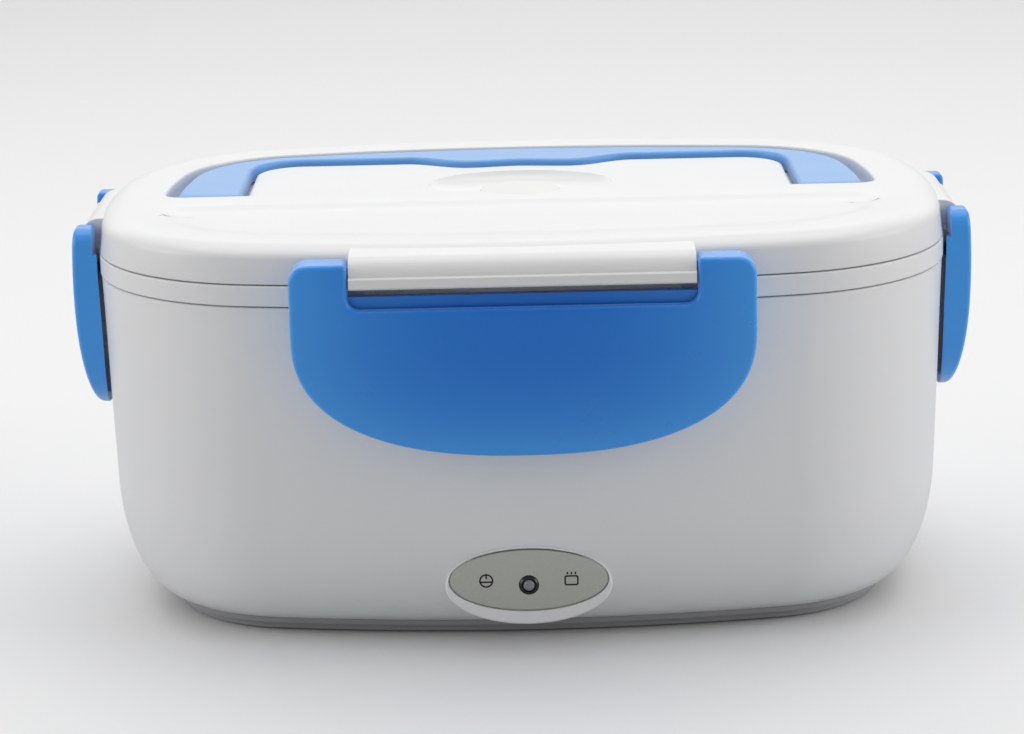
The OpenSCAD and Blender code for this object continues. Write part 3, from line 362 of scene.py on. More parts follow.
def fuse(piece, *tools):
    return combine(piece, "UNION", *tools)


def keep(piece, *tools):
    return combine(piece, "INTERSECT", *tools)


def gather(piece, *others):
    """Adds other closed solids to a piece's mesh."""
    bm = bmesh.new()
    for part in (piece, *others):
        bm.from_mesh(part.data)
    bm.to_mesh(piece.data)
    bm.free()
    for part in others:
        bpy.data.objects.remove(part)
    return piece


def turn(piece, quarters):
    """Turns a piece about Z in its mesh."""
    piece.data.transform(Matrix.Rotation(quarters * math.pi / 2, 4, "Z"))
    return piece


def shift(piece, y):
    """Moves a piece along Y in its mesh."""
    piece.data.transform(Matrix.Translation(Vector((0, y, 0)) * MM))
    return piece


def finish(piece, material, body, *nodes, angle=34, even=True):
    """Puts a piece in its place, shades it, gives it material and body, and lets it stand for CAD nodes.

    Edges sharper than angle, in degrees, stay sharp. even weighs the normals by area, so that flat faces
    look flat beside narrow rounds.
    """
    shift(piece, MID_Y)
    piece.data.materials.clear()
    piece.data.materials.append(material)
    piece.data.shade_smooth()
    piece.data.set_sharp_from_angle(angle=math.radians(angle))
    if even:
        shading = piece.modifiers.new("Even shading", "WEIGHTED_NORMAL")
        shading.keep_sharp = True
        shading.weight = AREA_WEIGHT
    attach(piece, body)
    if nodes:
        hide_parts(*nodes)
    return piece


# ------------------------ materials
# Places of a Mix node's two colours among its inputs, and of the mixed one among its outputs
COLOUR_A, COLOUR_B, MIXED = 6, 7, 2


def linear(hex_colour):
    """sRGB hex value to linear colour with alpha."""
    parts = [int(hex_colour[k:k + 2], 16) / 255 for k in (1, 3, 5)]
    return tuple(c / 12.92 if c <= 0.04045 else ((c + 0.055) / 1.055) ** 2.4 for c in parts) + (1.0,)


def add(tree, kind, inputs=None, **settings):
    """Adds a node with its settings; each input is a value or another node's output."""
    node = tree.nodes.new(kind)
    for key, value in settings.items():
        setattr(node, key, value)
    for key, value in (inputs or {}).items():
        if isinstance(value, bpy.types.NodeSocket):
            tree.links.new(value, node.inputs[key])
        else:
            node.inputs[key].default_value = value
    return node


def new_material(name):
    material = bpy.data.materials.new(name)
    material.use_nodes = True
    tree = material.node_tree
    tree.nodes.clear()
    return material, tree


def per_mm(size):
    """Noise scale that gives features of a size in millimetres, on coordinates in metres."""
    return 1 / (size * MM)


def nearness(tree):
    """Mask for painted light: 0 in the middle of a latch's face and 1 at its round edge."""
    shares = []
    for name in ("across", "down"):
        signed = add(tree, "ShaderNodeAttribute", attribute_name=name).outputs["Fac"]
        reach = add(tree, "ShaderNodeMath", {0: signed}, operation="ABSOLUTE").outputs["Value"]
        power = add(tree, "ShaderNodeMath", {0: reach, 1: FLAP_POWER}, operation="POWER")
        shares.append(power.outputs["Value"])
    both = add(tree, "ShaderNodeMath", {0: shares[0], 1: shares[1]}, operation="ADD", use_clamp=True)
    return both.outputs["Value"]


def write_painted_light_shares(piece, across, down):
    """Writes how far each point is from the middle of the face, as shares of the way to its edge, which set
    where painted light lightens the face.
    """
    for name, share in (("across", across), ("down", down)):
        layer = piece.data.attributes.new(name, "FLOAT", "POINT")
        layer.data.foreach_set("value", [share(v.co / MM) for v in piece.data.vertices])


def moulded(name, light, dark, rough, grain, depth, shader=None, drift=60, edge=None):
    """Injection-moulded surface: faint colour drift, uneven gloss, and a fine eroded grain.

    edge is a colour of painted light, lighter than the plastic, that it turns to where the attributes
    across and down, which the latches write, reach 1.
    """
    material, tree = new_material(name)
    place = add(tree, "ShaderNodeTexCoord").outputs["Object"]
    cloud = add(tree, "ShaderNodeTexNoise", {"Vector": place, "Scale": per_mm(drift), "Detail": 3.0})
    tint = add(tree, "ShaderNodeMix", {"Factor": cloud.outputs["Fac"], COLOUR_A: linear(light),
               COLOUR_B: linear(dark)}, data_type="RGBA")
    # Painted light: towards a latch face's sides and bottom the colour turns to edge
    if edge:
        tint = add(tree, "ShaderNodeMix", {"Factor": nearness(tree), COLOUR_A: tint.outputs[MIXED],
                   COLOUR_B: linear(edge)}, data_type="RGBA")
    haze = add(tree, "ShaderNodeTexNoise", {"Vector": place, "Scale": per_mm(14), "Detail": 4.0})
    gloss = add(tree, "ShaderNodeMapRange", {"Value": haze.outputs["Fac"], "From Min": 0.3,
                "From Max": 0.7, "To Min": rough[0], "To Max": rough[1]})
    pits = add(tree, "ShaderNodeTexNoise", {"Vector": place, "Scale": per_mm(grain), "Detail": 2.0})
    bump = add(tree, "ShaderNodeBump", {"Height": pits.outputs["Fac"], "Strength": 0.5,
               "Distance": depth * MM})
    surface = add(tree, "ShaderNodeBsdfPrincipled", {"Base Color": tint.outputs[MIXED],
                  "Roughness": gloss.outputs["Result"], "Normal": bump.outputs["Normal"], **(shader or {})})
    add(tree, "ShaderNodeOutputMaterial", {"Surface": surface.outputs["BSDF"]})
    return material


# Polypropylene, injection moulded with a fine spark-eroded grain: soft white with a broad dull gloss
white_pp = moulded("white_polypropylene", "#EEEEEE", "#E9E9EA", (0.34, 0.42), 0.5, 0.02,
                   {"IOR": 1.49, "Subsurface Weight": 0.06, "Subsurface Radius": (1.0, 0.9, 0.8),
                    "Subsurface Scale": 0.002})
# White polypropylene darkened with painted shade, for the base cover that stands in the shadow under the
# box
painted_shade_pp = moulded("white_polypropylene_painted_shade", "#A6A5A8", "#9F9EA1", (0.4, 0.5), 0.5, 0.02, {"IOR": 1.49})
# The same plastic dyed through: deep blue, lightened by painted light towards the sides and bottom of a
# latch's face, and a pale bloom where it is seen at a low angle
blue_pp = moulded("blue_polypropylene", "#0078DE", "#0073D8", (0.26, 0.34), 0.5, 0.02,
                  {"IOR": 1.49, "Sheen Weight": 0.6, "Sheen Roughness": 0.4,
                   "Sheen Tint": linear("#D5E4FF")}, edge="#40A0F6")
# A paler copy of it for the handle, with painted light that stands for the light from above
lit_blue_pp = moulded("blue_polypropylene_painted_light", "#6AA8EA", "#66A4E6", (0.3, 0.38), 0.5, 0.02,
                       {"IOR": 1.49, "Sheen Weight": 0.4, "Sheen Roughness": 0.4})
# Natural polypropylene of the tray: milky, with more gloss on the food side
tray_pp = moulded("natural_polypropylene", "#DDE1E4", "#D6DBDF", (0.22, 0.3), 0.8, 0.01, {"IOR": 1.49})
# Silicone rubber, compression moulded: dull and slightly warm
silicone = moulded("silicone_rubber", "#EEEEEC", "#E8E8E5", (0.5, 0.6), 0.4, 0.02, {"IOR": 1.41})
# Filled rubber of the feet: nearly black, dull
foot_rubber = moulded("black_rubber", "#262628", "#202022", (0.6, 0.75), 0.4, 0.03)
# Glass-filled nylon of the inlet and the cutout
black_nylon = moulded("black_nylon", "#1E1E20", "#19191B", (0.42, 0.52), 0.4, 0.02)
# ABS of the lamp's ring: black with a polished face
black_abs = moulded("black_abs", "#131315", "#0F0F11", (0.16, 0.24), 0.6, 0.005)
# Diffusing lens of the lamp, unlit: smoky grey
lamp_lens = moulded("grey_lamp_lens", "#8C8F92", "#7E8184", (0.12, 0.2), 0.5, 0.004, {"IOR": 1.49})
# Soft PVC of the leads
lead_pvc = moulded("red_pvc", "#A63A33", "#98332D", (0.35, 0.45), 0.5, 0.01)


def metal(name, light, dark, rough, grain, stretch):
    """Rolled or brushed metal: fine lines along X in its colour, gloss and height."""
    material, tree = new_material(name)
    place = add(tree, "ShaderNodeTexCoord").outputs["Object"]
    lines = add(tree, "ShaderNodeMapping", {"Vector": place, "Scale": (1 / stretch, 1, 1)})
    brush = add(tree, "ShaderNodeTexNoise", {"Vector": lines.outputs["Vector"], "Scale": per_mm(grain),
                "Detail": 3.0})
    tint = add(tree, "ShaderNodeMix", {"Factor": brush.outputs["Fac"], COLOUR_A: linear(light),
               COLOUR_B: linear(dark)}, data_type="RGBA")
    gloss = add(tree, "ShaderNodeMapRange", {"Value": brush.outputs["Fac"], "To Min": rough[0],
                "To Max": rough[1]})
    bump = add(tree, "ShaderNodeBump", {"Height": brush.outputs["Fac"], "Strength": 0.3,
               "Distance": 0.01 * MM})
    surface = add(tree, "ShaderNodeBsdfPrincipled", {"Base Color": tint.outputs[MIXED], "Metallic": 1.0,
                  "Roughness": gloss.outputs["Result"], "Normal": bump.outputs["Normal"]})
    add(tree, "ShaderNodeOutputMaterial", {"Surface": surface.outputs["BSDF"]})
    return material


# Aluminium sheet of the heating plate and the element's case, with its rolling lines
aluminium = metal("rolled_aluminium", "#C9CACB", "#B9BABB", (0.3, 0.42), 0.3, 20)
# Zinc-plated steel of the screws and the clamp
zinc_steel = metal("zinc_plated_steel", "#B4B5B6", "#9FA1A3", (0.28, 0.4), 0.25, 4)
# Nickel plating of the contact pins
nickel = metal("nickel_plating", "#CFCBC2", "#C2BEB4", (0.14, 0.22), 0.3, 3)


# ------------------------ repeats
def repeat_nodes():
    """Geometry nodes that stand a mesh on the points of a flat grid."""
    group = bpy.data.node_groups.new("repeat_on_grid", "GeometryNodeTree")
    sockets = [("Piece", "Geometry"), ("Columns", "Int"), ("Rows", "Int"), ("Length", "Float"),
               ("Depth", "Float"), ("Material", "Material")]
    for name, kind in sockets:
        group.interface.new_socket(name, in_out="INPUT", socket_type="NodeSocket" + kind)
    group.interface.new_socket("Copies", in_out="OUTPUT", socket_type="NodeSocketGeometry")
    given = group.nodes.new("NodeGroupInput").outputs
    grid = add(group, "GeometryNodeMeshGrid", {"Size X": given["Length"], "Size Y": given["Depth"],
               "Vertices X": given["Columns"], "Vertices Y": given["Rows"]})
    # A grid has two rows at least, so a single row is two that fall together
    spots = add(group, "GeometryNodeMergeByDistance", {"Geometry": grid.outputs["Mesh"],
                "Distance": 0.1 * MM})
    copies = add(group, "GeometryNodeInstanceOnPoints", {"Points": spots.outputs["Geometry"],
                 "Instance": given["Piece"]})
    solid = add(group, "GeometryNodeRealizeInstances", {"Geometry": copies.outputs["Instances"]})
    painted = add(group, "GeometryNodeSetMaterial", {"Geometry": solid.outputs["Geometry"],
                  "Material": given["Material"]})
    add(group, "NodeGroupOutput", {"Copies": painted.outputs["Geometry"]})
    return group


grid_nodes = repeat_nodes()


def repeat(piece, columns, rows, length, depth, material):
    """Puts copies of a piece, made round the origin, on a grid of length by depth over X and Y."""
    step = piece.modifiers.new("Repeat", "NODES")
    step.node_group = grid_nodes
    values = {"Columns": columns, "Rows": max(rows, 2), "Length": length * MM, "Depth": depth * MM,
              "Material": material}
    for item in grid_nodes.interface.items_tree:
        if item.name in values:
            step[item.identifier] = values[item.name]
    graph = bpy.context.evaluated_depsgraph_get()
    mesh = bpy.data.meshes.new_from_object(piece.evaluated_get(graph))
    piece.modifiers.clear()
    piece.data = mesh
    return piece


# ------------------------ outer shell
def shell_round(t, a):
    """Point of the rounded lower edge, t inside its outer face."""
    side = SHELL_BACK + math.tan(math.radians(SHELL_DRAFT)) * (SHELL_TOP - SHELL_LOW - ROUND_H)
    a = math.radians(a)
    return (side + ROUND_W - (ROUND_W - t) * math.cos(a),
            SHELL_LOW + ROUND_H - (ROUND_H - t) * math.sin(a))


def outer_shell():
    edge = 0.5
    outside = [shell_round(0, a) for a in np.linspace(90, 0, 22)]
    inside = [shell_round(SHELL_WALL, a) for a in np.linspace(0, 90, 14)]
    brim = [(SHELL_BACK + i, z) for i, z in fillet(edge, SHELL_TOP - SEAM)]
    brim.append((SHELL_BACK + SHELL_WALL, SHELL_TOP - SEAM))
    shell = oval_loft("shell", outside + brim + inside, closed=True)
    oval_face = ellipse(BOSS_W / 2, BOSS_H / 2) + [0, BADGE_Z - BOSS_DROP]
    front = [(i, -d) for i, d in fillet(BOSS_EDGE, BOSS_Y)]
    boss = facing("boss", oval_face, [(0, BOSS_ROOT - BOSS_Y), *front])
    inlet_w, inlet_h = INLET_W + 2 * INLET_WALL, INLET_H + 2 * INLET_WALL
    inlet_face = rounded(inlet_w + INLET_MORE_W, inlet_h + INLET_MORE_H, INLET_R) + [0, INLET_Z]
    inlet = facing("inlet_boss", inlet_face, [(0, BOSS_Y - BOSS_ROOT), *fillet(INLET_EDGE, BOSS_Y)])
    fuse(shell, boss, inlet)
    seat = ellipse(BADGE_W / 2, BADGE_H / 2) + [0, BADGE_Z]
    flare, over, through = 0.3, 0.4, 12
    seat_tool = facing("seat", seat, [(0, BADGE_T - BOSS_Y), (0, flare - BOSS_Y),
                                      (-flare / 3, flare / 3 - BOSS_Y), (-flare - over, -BOSS_Y - over)])
    opening = rounded(inlet_w, inlet_h, INLET_R) + [0, INLET_Z]
    opening_tool = facing("opening", opening, [(0, BOSS_Y - through), (0, BOSS_Y + 2)])
    lamp_tool = rod("lamp_hole", (0, -BOSS_Y - 2, LAMP_Z), (0, through - BOSS_Y, LAMP_Z), RING_D / 2)
    cut(shell, seat_tool, opening_tool, lamp_tool)
    return finish(shell, white_pp, "base", "outer_shell")


# ------------------------ rim and liner
def liner_face(t, steps=12):
    """Wall and floor edge of the liner, t outside its inner face, read upwards."""
    r, z0 = LINER_ROUND + t, LINER_FLOOR - t
    zr = z0 + r
    foot = LAND_W + LEDGE_W - t + math.tan(math.radians(LINER_DRAFT)) * (RIM_TOP - LEDGE_DROP - zr)
    turn_angles = np.radians(np.linspace(90, 0, steps + 1))
    return [(foot + r * (1 - math.cos(a)), zr - r * math.sin(a)) for a in turn_angles]


def inner_liner():
    ledge_in, ledge_z = LAND_W + LEDGE_W, RIM_TOP - LEDGE_DROP
    lip_in = SHELL_BACK + SHELL_WALL + 0.3
    edge = 0.45
    profile = liner_face(LINER_WALL) + [
        (ledge_in - LINER_WALL, ledge_z - LINER_WALL), (lip_in + 1.6, ledge_z - LINER_WALL),
        (lip_in + 1.6, SHELL_TOP - 3.5), (lip_in, SHELL_TOP - 3.5), (lip_in, SHELL_TOP)]
    profile += [(i, z) for i, z in fillet(edge, SHELL_TOP, side=-1)]
    profile += [(i, z) for i, z in fillet(edge, RIM_TOP)]
    profile += [(LAND_W - 0.3, RIM_TOP), (LAND_W, RIM_TOP - 0.3), (LAND_W, ledge_z),
                (ledge_in - 0.4, ledge_z), (ledge_in, ledge_z - 0.4)]
    profile += liner_face(0)[::-1]
    liner = oval_loft("liner", profile)
    plate_z = LINER_FLOOR - PLATE_SINK
    window = upright("window", rounded(PLATE_LEN + 2 * PLATE_GAP, PLATE_DEP + 2 * PLATE_GAP,
                     PLATE_R + PLATE_GAP), [(0, plate_z), (0, LINER_FLOOR + 1)])
    heater = upright("heater_gap", rounded(PLATE_LEN - 2 * PLATE_EDGE, PLATE_DEP - 2 * PLATE_EDGE,
                     PLATE_R - 4), [(0, LINER_FLOOR - 4), (0, plate_z + 0.5)])
    cut(liner, window, heater)
    out, high, root, chamfer = CATCH_OUT, CATCH_LOW + CATCH_H, 0.5, 0.4
    catch = [(root, CATCH_LOW), (chamfer - out, CATCH_LOW), (-out, CATCH_LOW + chamfer),
             (-out, high - 3 * chamfer), (2 * chamfer - out, high), (root, high)]
    for side in SIDES:
        share = block("side", (-side.hook, -BODY_LEN, CATCH_SPAN[0]), (side.hook, -40, CATCH_SPAN[1]))
        gather(liner, keep(oval_loft("catch", catch, closed=True), turn(share, side.k)))
    return finish(liner, white_pp, "base", "inner_liner")


# ------------------------ food tray
def end_outline(d, x0, r):
    """Right end of the oval, d inside the rim band, cut at x0 with corners of radius r."""
    rl = LONG_R - d
    cx = x0 + r
    cy = LONG_C[1] + math.sqrt((rl - r) ** 2 - cx * cx)
    af = math.degrees(math.atan2(cy - LONG_C[1], cx))
    up = np.concatenate([
        arc(END_C, END_R - d, 0, A_END, 5), arc(CORNER_C, CORNER_R - d, A_END, A_LONG, 16)[1:],
        arc(LONG_C, rl, A_LONG, af, 6)[1:], arc((cx, cy), r, af, 180, 12)[1:]])
    return np.concatenate([up[:0:-1] * [1, -1], up])


def tray_in(z):
    """Inset of the tray's drafted outer face at the height z."""
    return LAND_W + LEDGE_W + TRAY_GAP + math.tan(math.radians(TRAY_DRAFT)) * (TRAY_TOP - TRAY_RIM - z)


def tray_turn(t, a):
    """Point of the tray's round lower edge, t inside its outer face."""
    zr = TRAY_LOW + TRAY_ROUND
    r, a = TRAY_ROUND - t, math.radians(a)
    return (tray_in(zr) + TRAY_ROUND - r * math.cos(a), zr - r * math.sin(a))


def compartment(name, x0, t, high, flare=0.0, drop=0.0):
    """Tapered space right of x0, t inside the tray's outer face, with a flared mouth."""
    rings = []
    for a in np.linspace(90, 0, 10):
        i, z = tray_turn(t, a)
        edge = x0 + (TRAY_ROUND - t) * (1 - math.cos(math.radians(a)))
        rings.append(at_height(end_outline(i, edge, DIVIDER_R), z - drop))
    mouth = end_outline(tray_in(TRAY_TOP - TRAY_RIM) + t, x0 - 1, DIVIDER_R + 1)
    flared = [(0, high - flare), (-flare * 0.3, high - flare * 0.3), (-flare, high), (-flare, high + 1)]
    rings += [at_height(inset(mouth, i), z) for i, z in (flared if flare else [(0, high)])]
    return loft(name, rings)


def mirror_x(piece):
    """Mirrors a piece in X = 0."""
    piece.data.transform(Matrix.Scale(-1, 4, (1, 0, 0)))
    piece.data.flip_normals()
    return piece


def food_tray():
    rim_low, rim_in, flare = TRAY_TOP - TRAY_RIM, LAND_W + 0.3, 0.5
    profile = [tray_turn(0, a) for a in np.linspace(90, 0, 12)]
    profile += [(tray_in(rim_low), rim_low), (rim_in + 0.3, rim_low), (rim_in, rim_low + 0.3),
                (rim_in, TRAY_TOP - 0.4), (rim_in + 0.4, TRAY_TOP)]
    tray = oval_loft("tray", profile)
    cut(tray, compartment("right_space", DIVIDER_X + DIVIDER_T / 2, TRAY_WALL, TRAY_TOP, flare),
        mirror_x(compartment("left_space", -DIVIDER_X + DIVIDER_T / 2, TRAY_WALL, TRAY_TOP, flare)))
    return finish(tray, tray_pp, "tray", "food_tray")


def removable_container():
    t, x0 = TRAY_WALL + CUP_GAP, DIVIDER_X + DIVIDER_T / 2 + CUP_GAP
    high, drop, soft = TRAY_TOP - CUP_LOW, CUP_GAP - 0.3, 0.3
    cup = compartment("container", x0, t, high, drop=drop)
    rim = end_outline(tray_in(high) + t - LIP_OUT, x0 - 2 * LIP_OUT, DIVIDER_R)
    fuse(cup, upright("rim", rim, [(soft, high - LIP_H), (0, high - LIP_H + soft), (0, high - 0.4),
                                   (0.4, high)]))
    space = compartment("cup_space", x0 + TRAY_WALL, t + TRAY_WALL, high, soft, drop=drop)
    x = (x0 + TAB_X) / 2
    for y in (-TAB_Y, TAB_Y):
        cut(space, rod("tab", (x, y, high - TAB_DROP), (x, y, high), TAB_R, 48))
    cut(cup, space)
    return finish(cup, tray_pp, "container", "removable_container")


# ------------------------ lid
def wave(x):
    """Depth of the crossbar's swell at x, up to SWELL_END."""
    if x < SWELL_PEAK:
        return SWELL * (1 - SWELL_DIP * (1 + math.cos(math.pi * x / SWELL_PEAK)))
    return SWELL * (0.5 + 0.5 * math.cos(math.pi * (x - SWELL_PEAK) / (SWELL_END - SWELL_PEAK)))


ARM_IN = HALF_L - HANDLE_IN - ARM_W
BAR_IN = BAR_BACK - BAR_D


def inner_edge(c, y0):
    """Inner edge of the handle, c inside it, from left to right."""
    mid = np.array([(x, BAR_IN - c - wave(x)) for x in range(SWELL_END + 1)])
    corner = arc((ARM_IN - HANDLE_R, BAR_IN - HANDLE_R), HANDLE_R - c, 90, 0, 14)
    half = np.concatenate([mid, corner, [(ARM_IN - c, y0)]])
    return np.concatenate([mirrored(half), half[1:]])


def hinge_bar(side):
    """Bar of the lid between a latch's ears, with a stepped face and round edges."""
    half, out, low_z = side.room - BAR_PLAY, side.bar_out, side.bar_low
    step, lip = BAR_STEP - out, low_z + BAR_LIP
    section = np.concatenate([
        [(BAR_ROOT, low_z), (0.5 - out, low_z), (-out, low_z + 0.5), (-out, lip - 0.3), (0.3 - out, lip),
         (step - 0.1, lip), (step, lip + 0.15)],
        arc((step + BAR_ROUND, side.bar_top - BAR_ROUND), BAR_ROUND, 180, 90, 12),
        [(BAR_ROOT, side.bar_top)]])
    bar = along_x("bar", section, -half, half)
    y, z = -side.pivot_out, side.pivot_z
    cut(bar, *[rod("bore", (s * (half - PIN_LEN), y, z), (s * (half + 1), y, z), HINGE_D / 2 + PLAY)
               for s in (-1, 1)])
    return turn(shift(bar, -side.half), side.k)


def lid_shell():
    edge_z = LID_TOP - EDGE_H
    edge_in = 0.2 + math.tan(math.radians(LID_DRAFT)) * (edge_z - LID_SKIRT)
    ceiling = top("lid_inner") + 0.3
    profile = [(edge_in + LID_WALL - 0.1, ceiling), (LID_WALL + 0.3, LID_SKIRT + 0.2),
               (LID_WALL, LID_SKIRT)]
    profile += [(0.2 + i, z) for i, z in fillet(0.45, LID_SKIRT, side=-1)]
    angles = np.radians(np.linspace(0, 90, 15))
    profile += [(edge_in + EDGE_W * (1 - math.cos(a)), edge_z + EDGE_H * math.sin(a)) for a in angles]
    profile.append((edge_in + EDGE_W + 1, LID_TOP))
    lid = oval_loft("lid", profile)
    # Shallow panel in front of the ridge; its mirrored outline is reversed to run counter-clockwise
    dish = d_shape(OVAL_IN, -RIDGE_FRONT, PANEL_R)[::-1] * [1, -1]
    panel = upright("panel", dish, [(i, LID_TOP - d) for i, d in PANEL_SLOPE])
    # Recess behind the ridge, and the deck that the handle lies round
    foot = [(0.5, RECESS_Z), (0.15, RECESS_Z + 0.15), (0, RECESS_Z + 0.5)]
    recess = upright("recess", d_shape(OVAL_IN, RIDGE_BACK, RECESS_R),
                     foot + [(i, LID_TOP - d) for i, d in RECESS_EDGE])
    cut(lid, panel, recess)
    deck = upright("deck", inner_edge(DECK_GAP, RIDGE_BACK - 4)[::-1],
                   [(0, RECESS_Z - 1)] + [(i, DECK_Z - d) for i, d in DECK_EDGE])
    fuse(lid, deck)
    bowl_z, bowl_h = LID_TOP - SCOOP_DROP, SCOOP_DROP - (LID_TOP - DECK_Z)
    scoop = loft("scoop", [at_height(ellipse(SCOOP_W * s, SCOOP_D * s) + [0, SCOOP_Y], bowl_z + h * bowl_h)
                           for s, h in SCOOP_BOWL])
    plug_r = PLUG_D / 2
    cut(scoop, rod("seat", (0, PLUG_Y, RECESS_Z - 2), (0, PLUG_Y, SEAT_Z), plug_r - PLUG_GAP, 64))
    pocket = upright("pocket", ellipse(plug_r + PLUG_GAP, plug_r + PLUG_GAP) + [0, PLUG_Y],
                     [(0, SEAT_Z), (0, LID_TOP - 0.4), (-0.15, LID_TOP - 0.1), (-0.5, LID_TOP + 0.1)])
    stem = rod("stem_hole", (0, PLUG_Y, RECESS_Z - 3), (0, PLUG_Y, LID_TOP), STEM_HOLE / 2)
    cut(lid, scoop, pocket, stem)
    fuse(lid, *[hinge_bar(side) for side in SIDES])
    wall, z = HALF_L - OVAL_IN, HANDLE_LOW + HANDLE_T / 2
    cut(lid, *[rod("pivot", (s * (wall - 1), PIVOT_Y, z), (s * (wall + PIVOT_REACH + 0.2), PIVOT_Y, z),
                   PIVOT_D / 2 + PLAY) for s in (-1, 1)])
    # Its wide soft slopes show marks under even shading, so it goes without
    return finish(lid, white_pp, "lid", "lid_shell", angle=20, even=False)


def vent_plug():
    r, cap_z, soft = PLUG_D / 2, SEAT_Z + 0.3, 0.2
    crown = [(i, cap_z + PLUG_T - d) for i, d in PLUG_CROWN]
    cap = upright("vent", ellipse(r, r) + [0, PLUG_Y], [(soft, cap_z), (0, cap_z + soft), *crown])
    stem = rod("stem", (0, PLUG_Y, low("vent_plug")), (0, PLUG_Y, cap_z + 0.3), STEM_D / 2, 48)
    return finish(gather(cap, stem), silicone, "vent", "vent_plug")


# ------------------------ handle
def handle():
    half = upper_right(HANDLE_IN) * [1, BAR_BACK / (HALF_D - HANDLE_IN)]
    outer = np.concatenate([[(HALF_L - HANDLE_IN, PIVOT_Y)], half, mirrored(half)[1:],
                            [(-HALF_L + HANDLE_IN, PIVOT_Y)]])
    outline = np.concatenate([outer, inner_edge(0, PIVOT_Y)])
    z0, z1 = HANDLE_LOW, HANDLE_LOW + HANDLE_T
    bar = upright("handle_bar", outline, [*fillet(HANDLE_EDGE, z0, side=-1), *fillet(HANDLE_EDGE, z1)])
    z, arm_out = (z0 + z1) / 2, HALF_L - HANDLE_IN
    for s in (-1, 1):
        mid, half_arm = s * (arm_out - ARM_W / 2), ARM_W / 2 - 0.4
        gather(bar, rod("barrel", (mid - half_arm, PIVOT_Y, z), (mid + half_arm, PIVOT_Y, z),
                        HANDLE_T / 2, 48))
        gather(bar, rod("pivot", (s * (arm_out - 1), PIVOT_Y, z),
                        (s * (HALF_L - OVAL_IN + PIVOT_REACH), PIVOT_Y, z), PIVOT_D / 2))
    # The handle takes the paler blue copy with painted light
    return finish(bar, lit_blue_pp, "handle", "handle")


# ------------------------ latches
def flap(side, t, high, r):
    """Front view of a latch, t inside its edge: a superellipse below, with small upper corners."""
    a, b, bulge = side.width / 2 - t, FLAP_H - t, 2 / FLAP_POWER
    angles = np.radians(np.linspace(180, 360, FLAP_STEPS + 1))
    c, s = np.cos(angles), np.abs(np.sin(angles))
    below = np.column_stack([a * np.sign(c) * np.abs(c) ** bulge, side.low + FLAP_H - b * s ** bulge])
    return np.concatenate([below, arc((a - r, high - r), r, 0, 90, EAR_STEPS),
                           arc((r - a, high - r), r, 90, 180, EAR_STEPS)])


def latch_outline(side):
    """Front view of a latch with the notch round the hinge bar."""
    body, soft, r = flap(side, 0, side.top, EAR_R), EDGE_R + 0.1, NOTCH_R
    x, floor, crest = side.room, side.notch_low, side.top - soft
    notch = np.concatenate([
        arc((x + soft, crest), soft, 90, 180, 6), arc((x - r, floor + r), r, 0, -90, 8),
        arc((r - x, floor + r), r, 270, 180, 8), arc((-x - soft, crest), soft, 0, 90, 6)])
    split = FLAP_STEPS + 1 + EAR_STEPS + 1
    return np.concatenate([body[:split], notch, body[split:]])


def bend(piece, side):
    """Curves the flat front wall of a latch back to its face, between level cuts."""
    bm = bmesh.new()
    bm.from_mesh(piece.data)
    step = 1.5
    for z in np.arange(side.low + step, side.top - 1, step):
        bmesh.ops.bisect_plane(bm, geom=bm.verts[:] + bm.edges[:] + bm.faces[:],
                               plane_co=(0, 0, z * MM), plane_no=(0, 0, 1))
    outer = LATCH_WALL + 0.5 - side.reach
    inner = outer + min(3, -outer - 1)
    for v in bm.verts:
        share = min(max((v.co.y / MM - inner) / (outer - inner), 0), 1)
        v.co.y += share * (side.reach - side.face(v.co.z / MM)) * MM
    bm.to_mesh(piece.data)
    bm.free()
    return piece


def box_wall(side, gap, z0, z1, tilt=0.0):
    """Side of the box and gap outside it, as a latch sees it; tilt leans it about the shell's top."""
    wall = shift(turn(oval_loft("wall", [(-gap, z0), (-gap, z1)]), side.k % 2), side.half)
    foot = Matrix.Translation((0, 0, SHELL_TOP * MM))
    wall.data.transform(foot @ Matrix.Rotation(math.radians(tilt), 4, "X") @ foot.inverted())
    return wall


def rib_line(side, high, inner):
    """Side view of a rib behind a latch's face, up to the hook at the height high."""
    face = [(LATCH_WALL - RIB_ROOT - side.face(z), z)
            for z in np.linspace(side.low + 14, high + 0.5, 10)]
    return np.array([*face, (-inner, high + 0.5), (-inner, side.low + 22)])


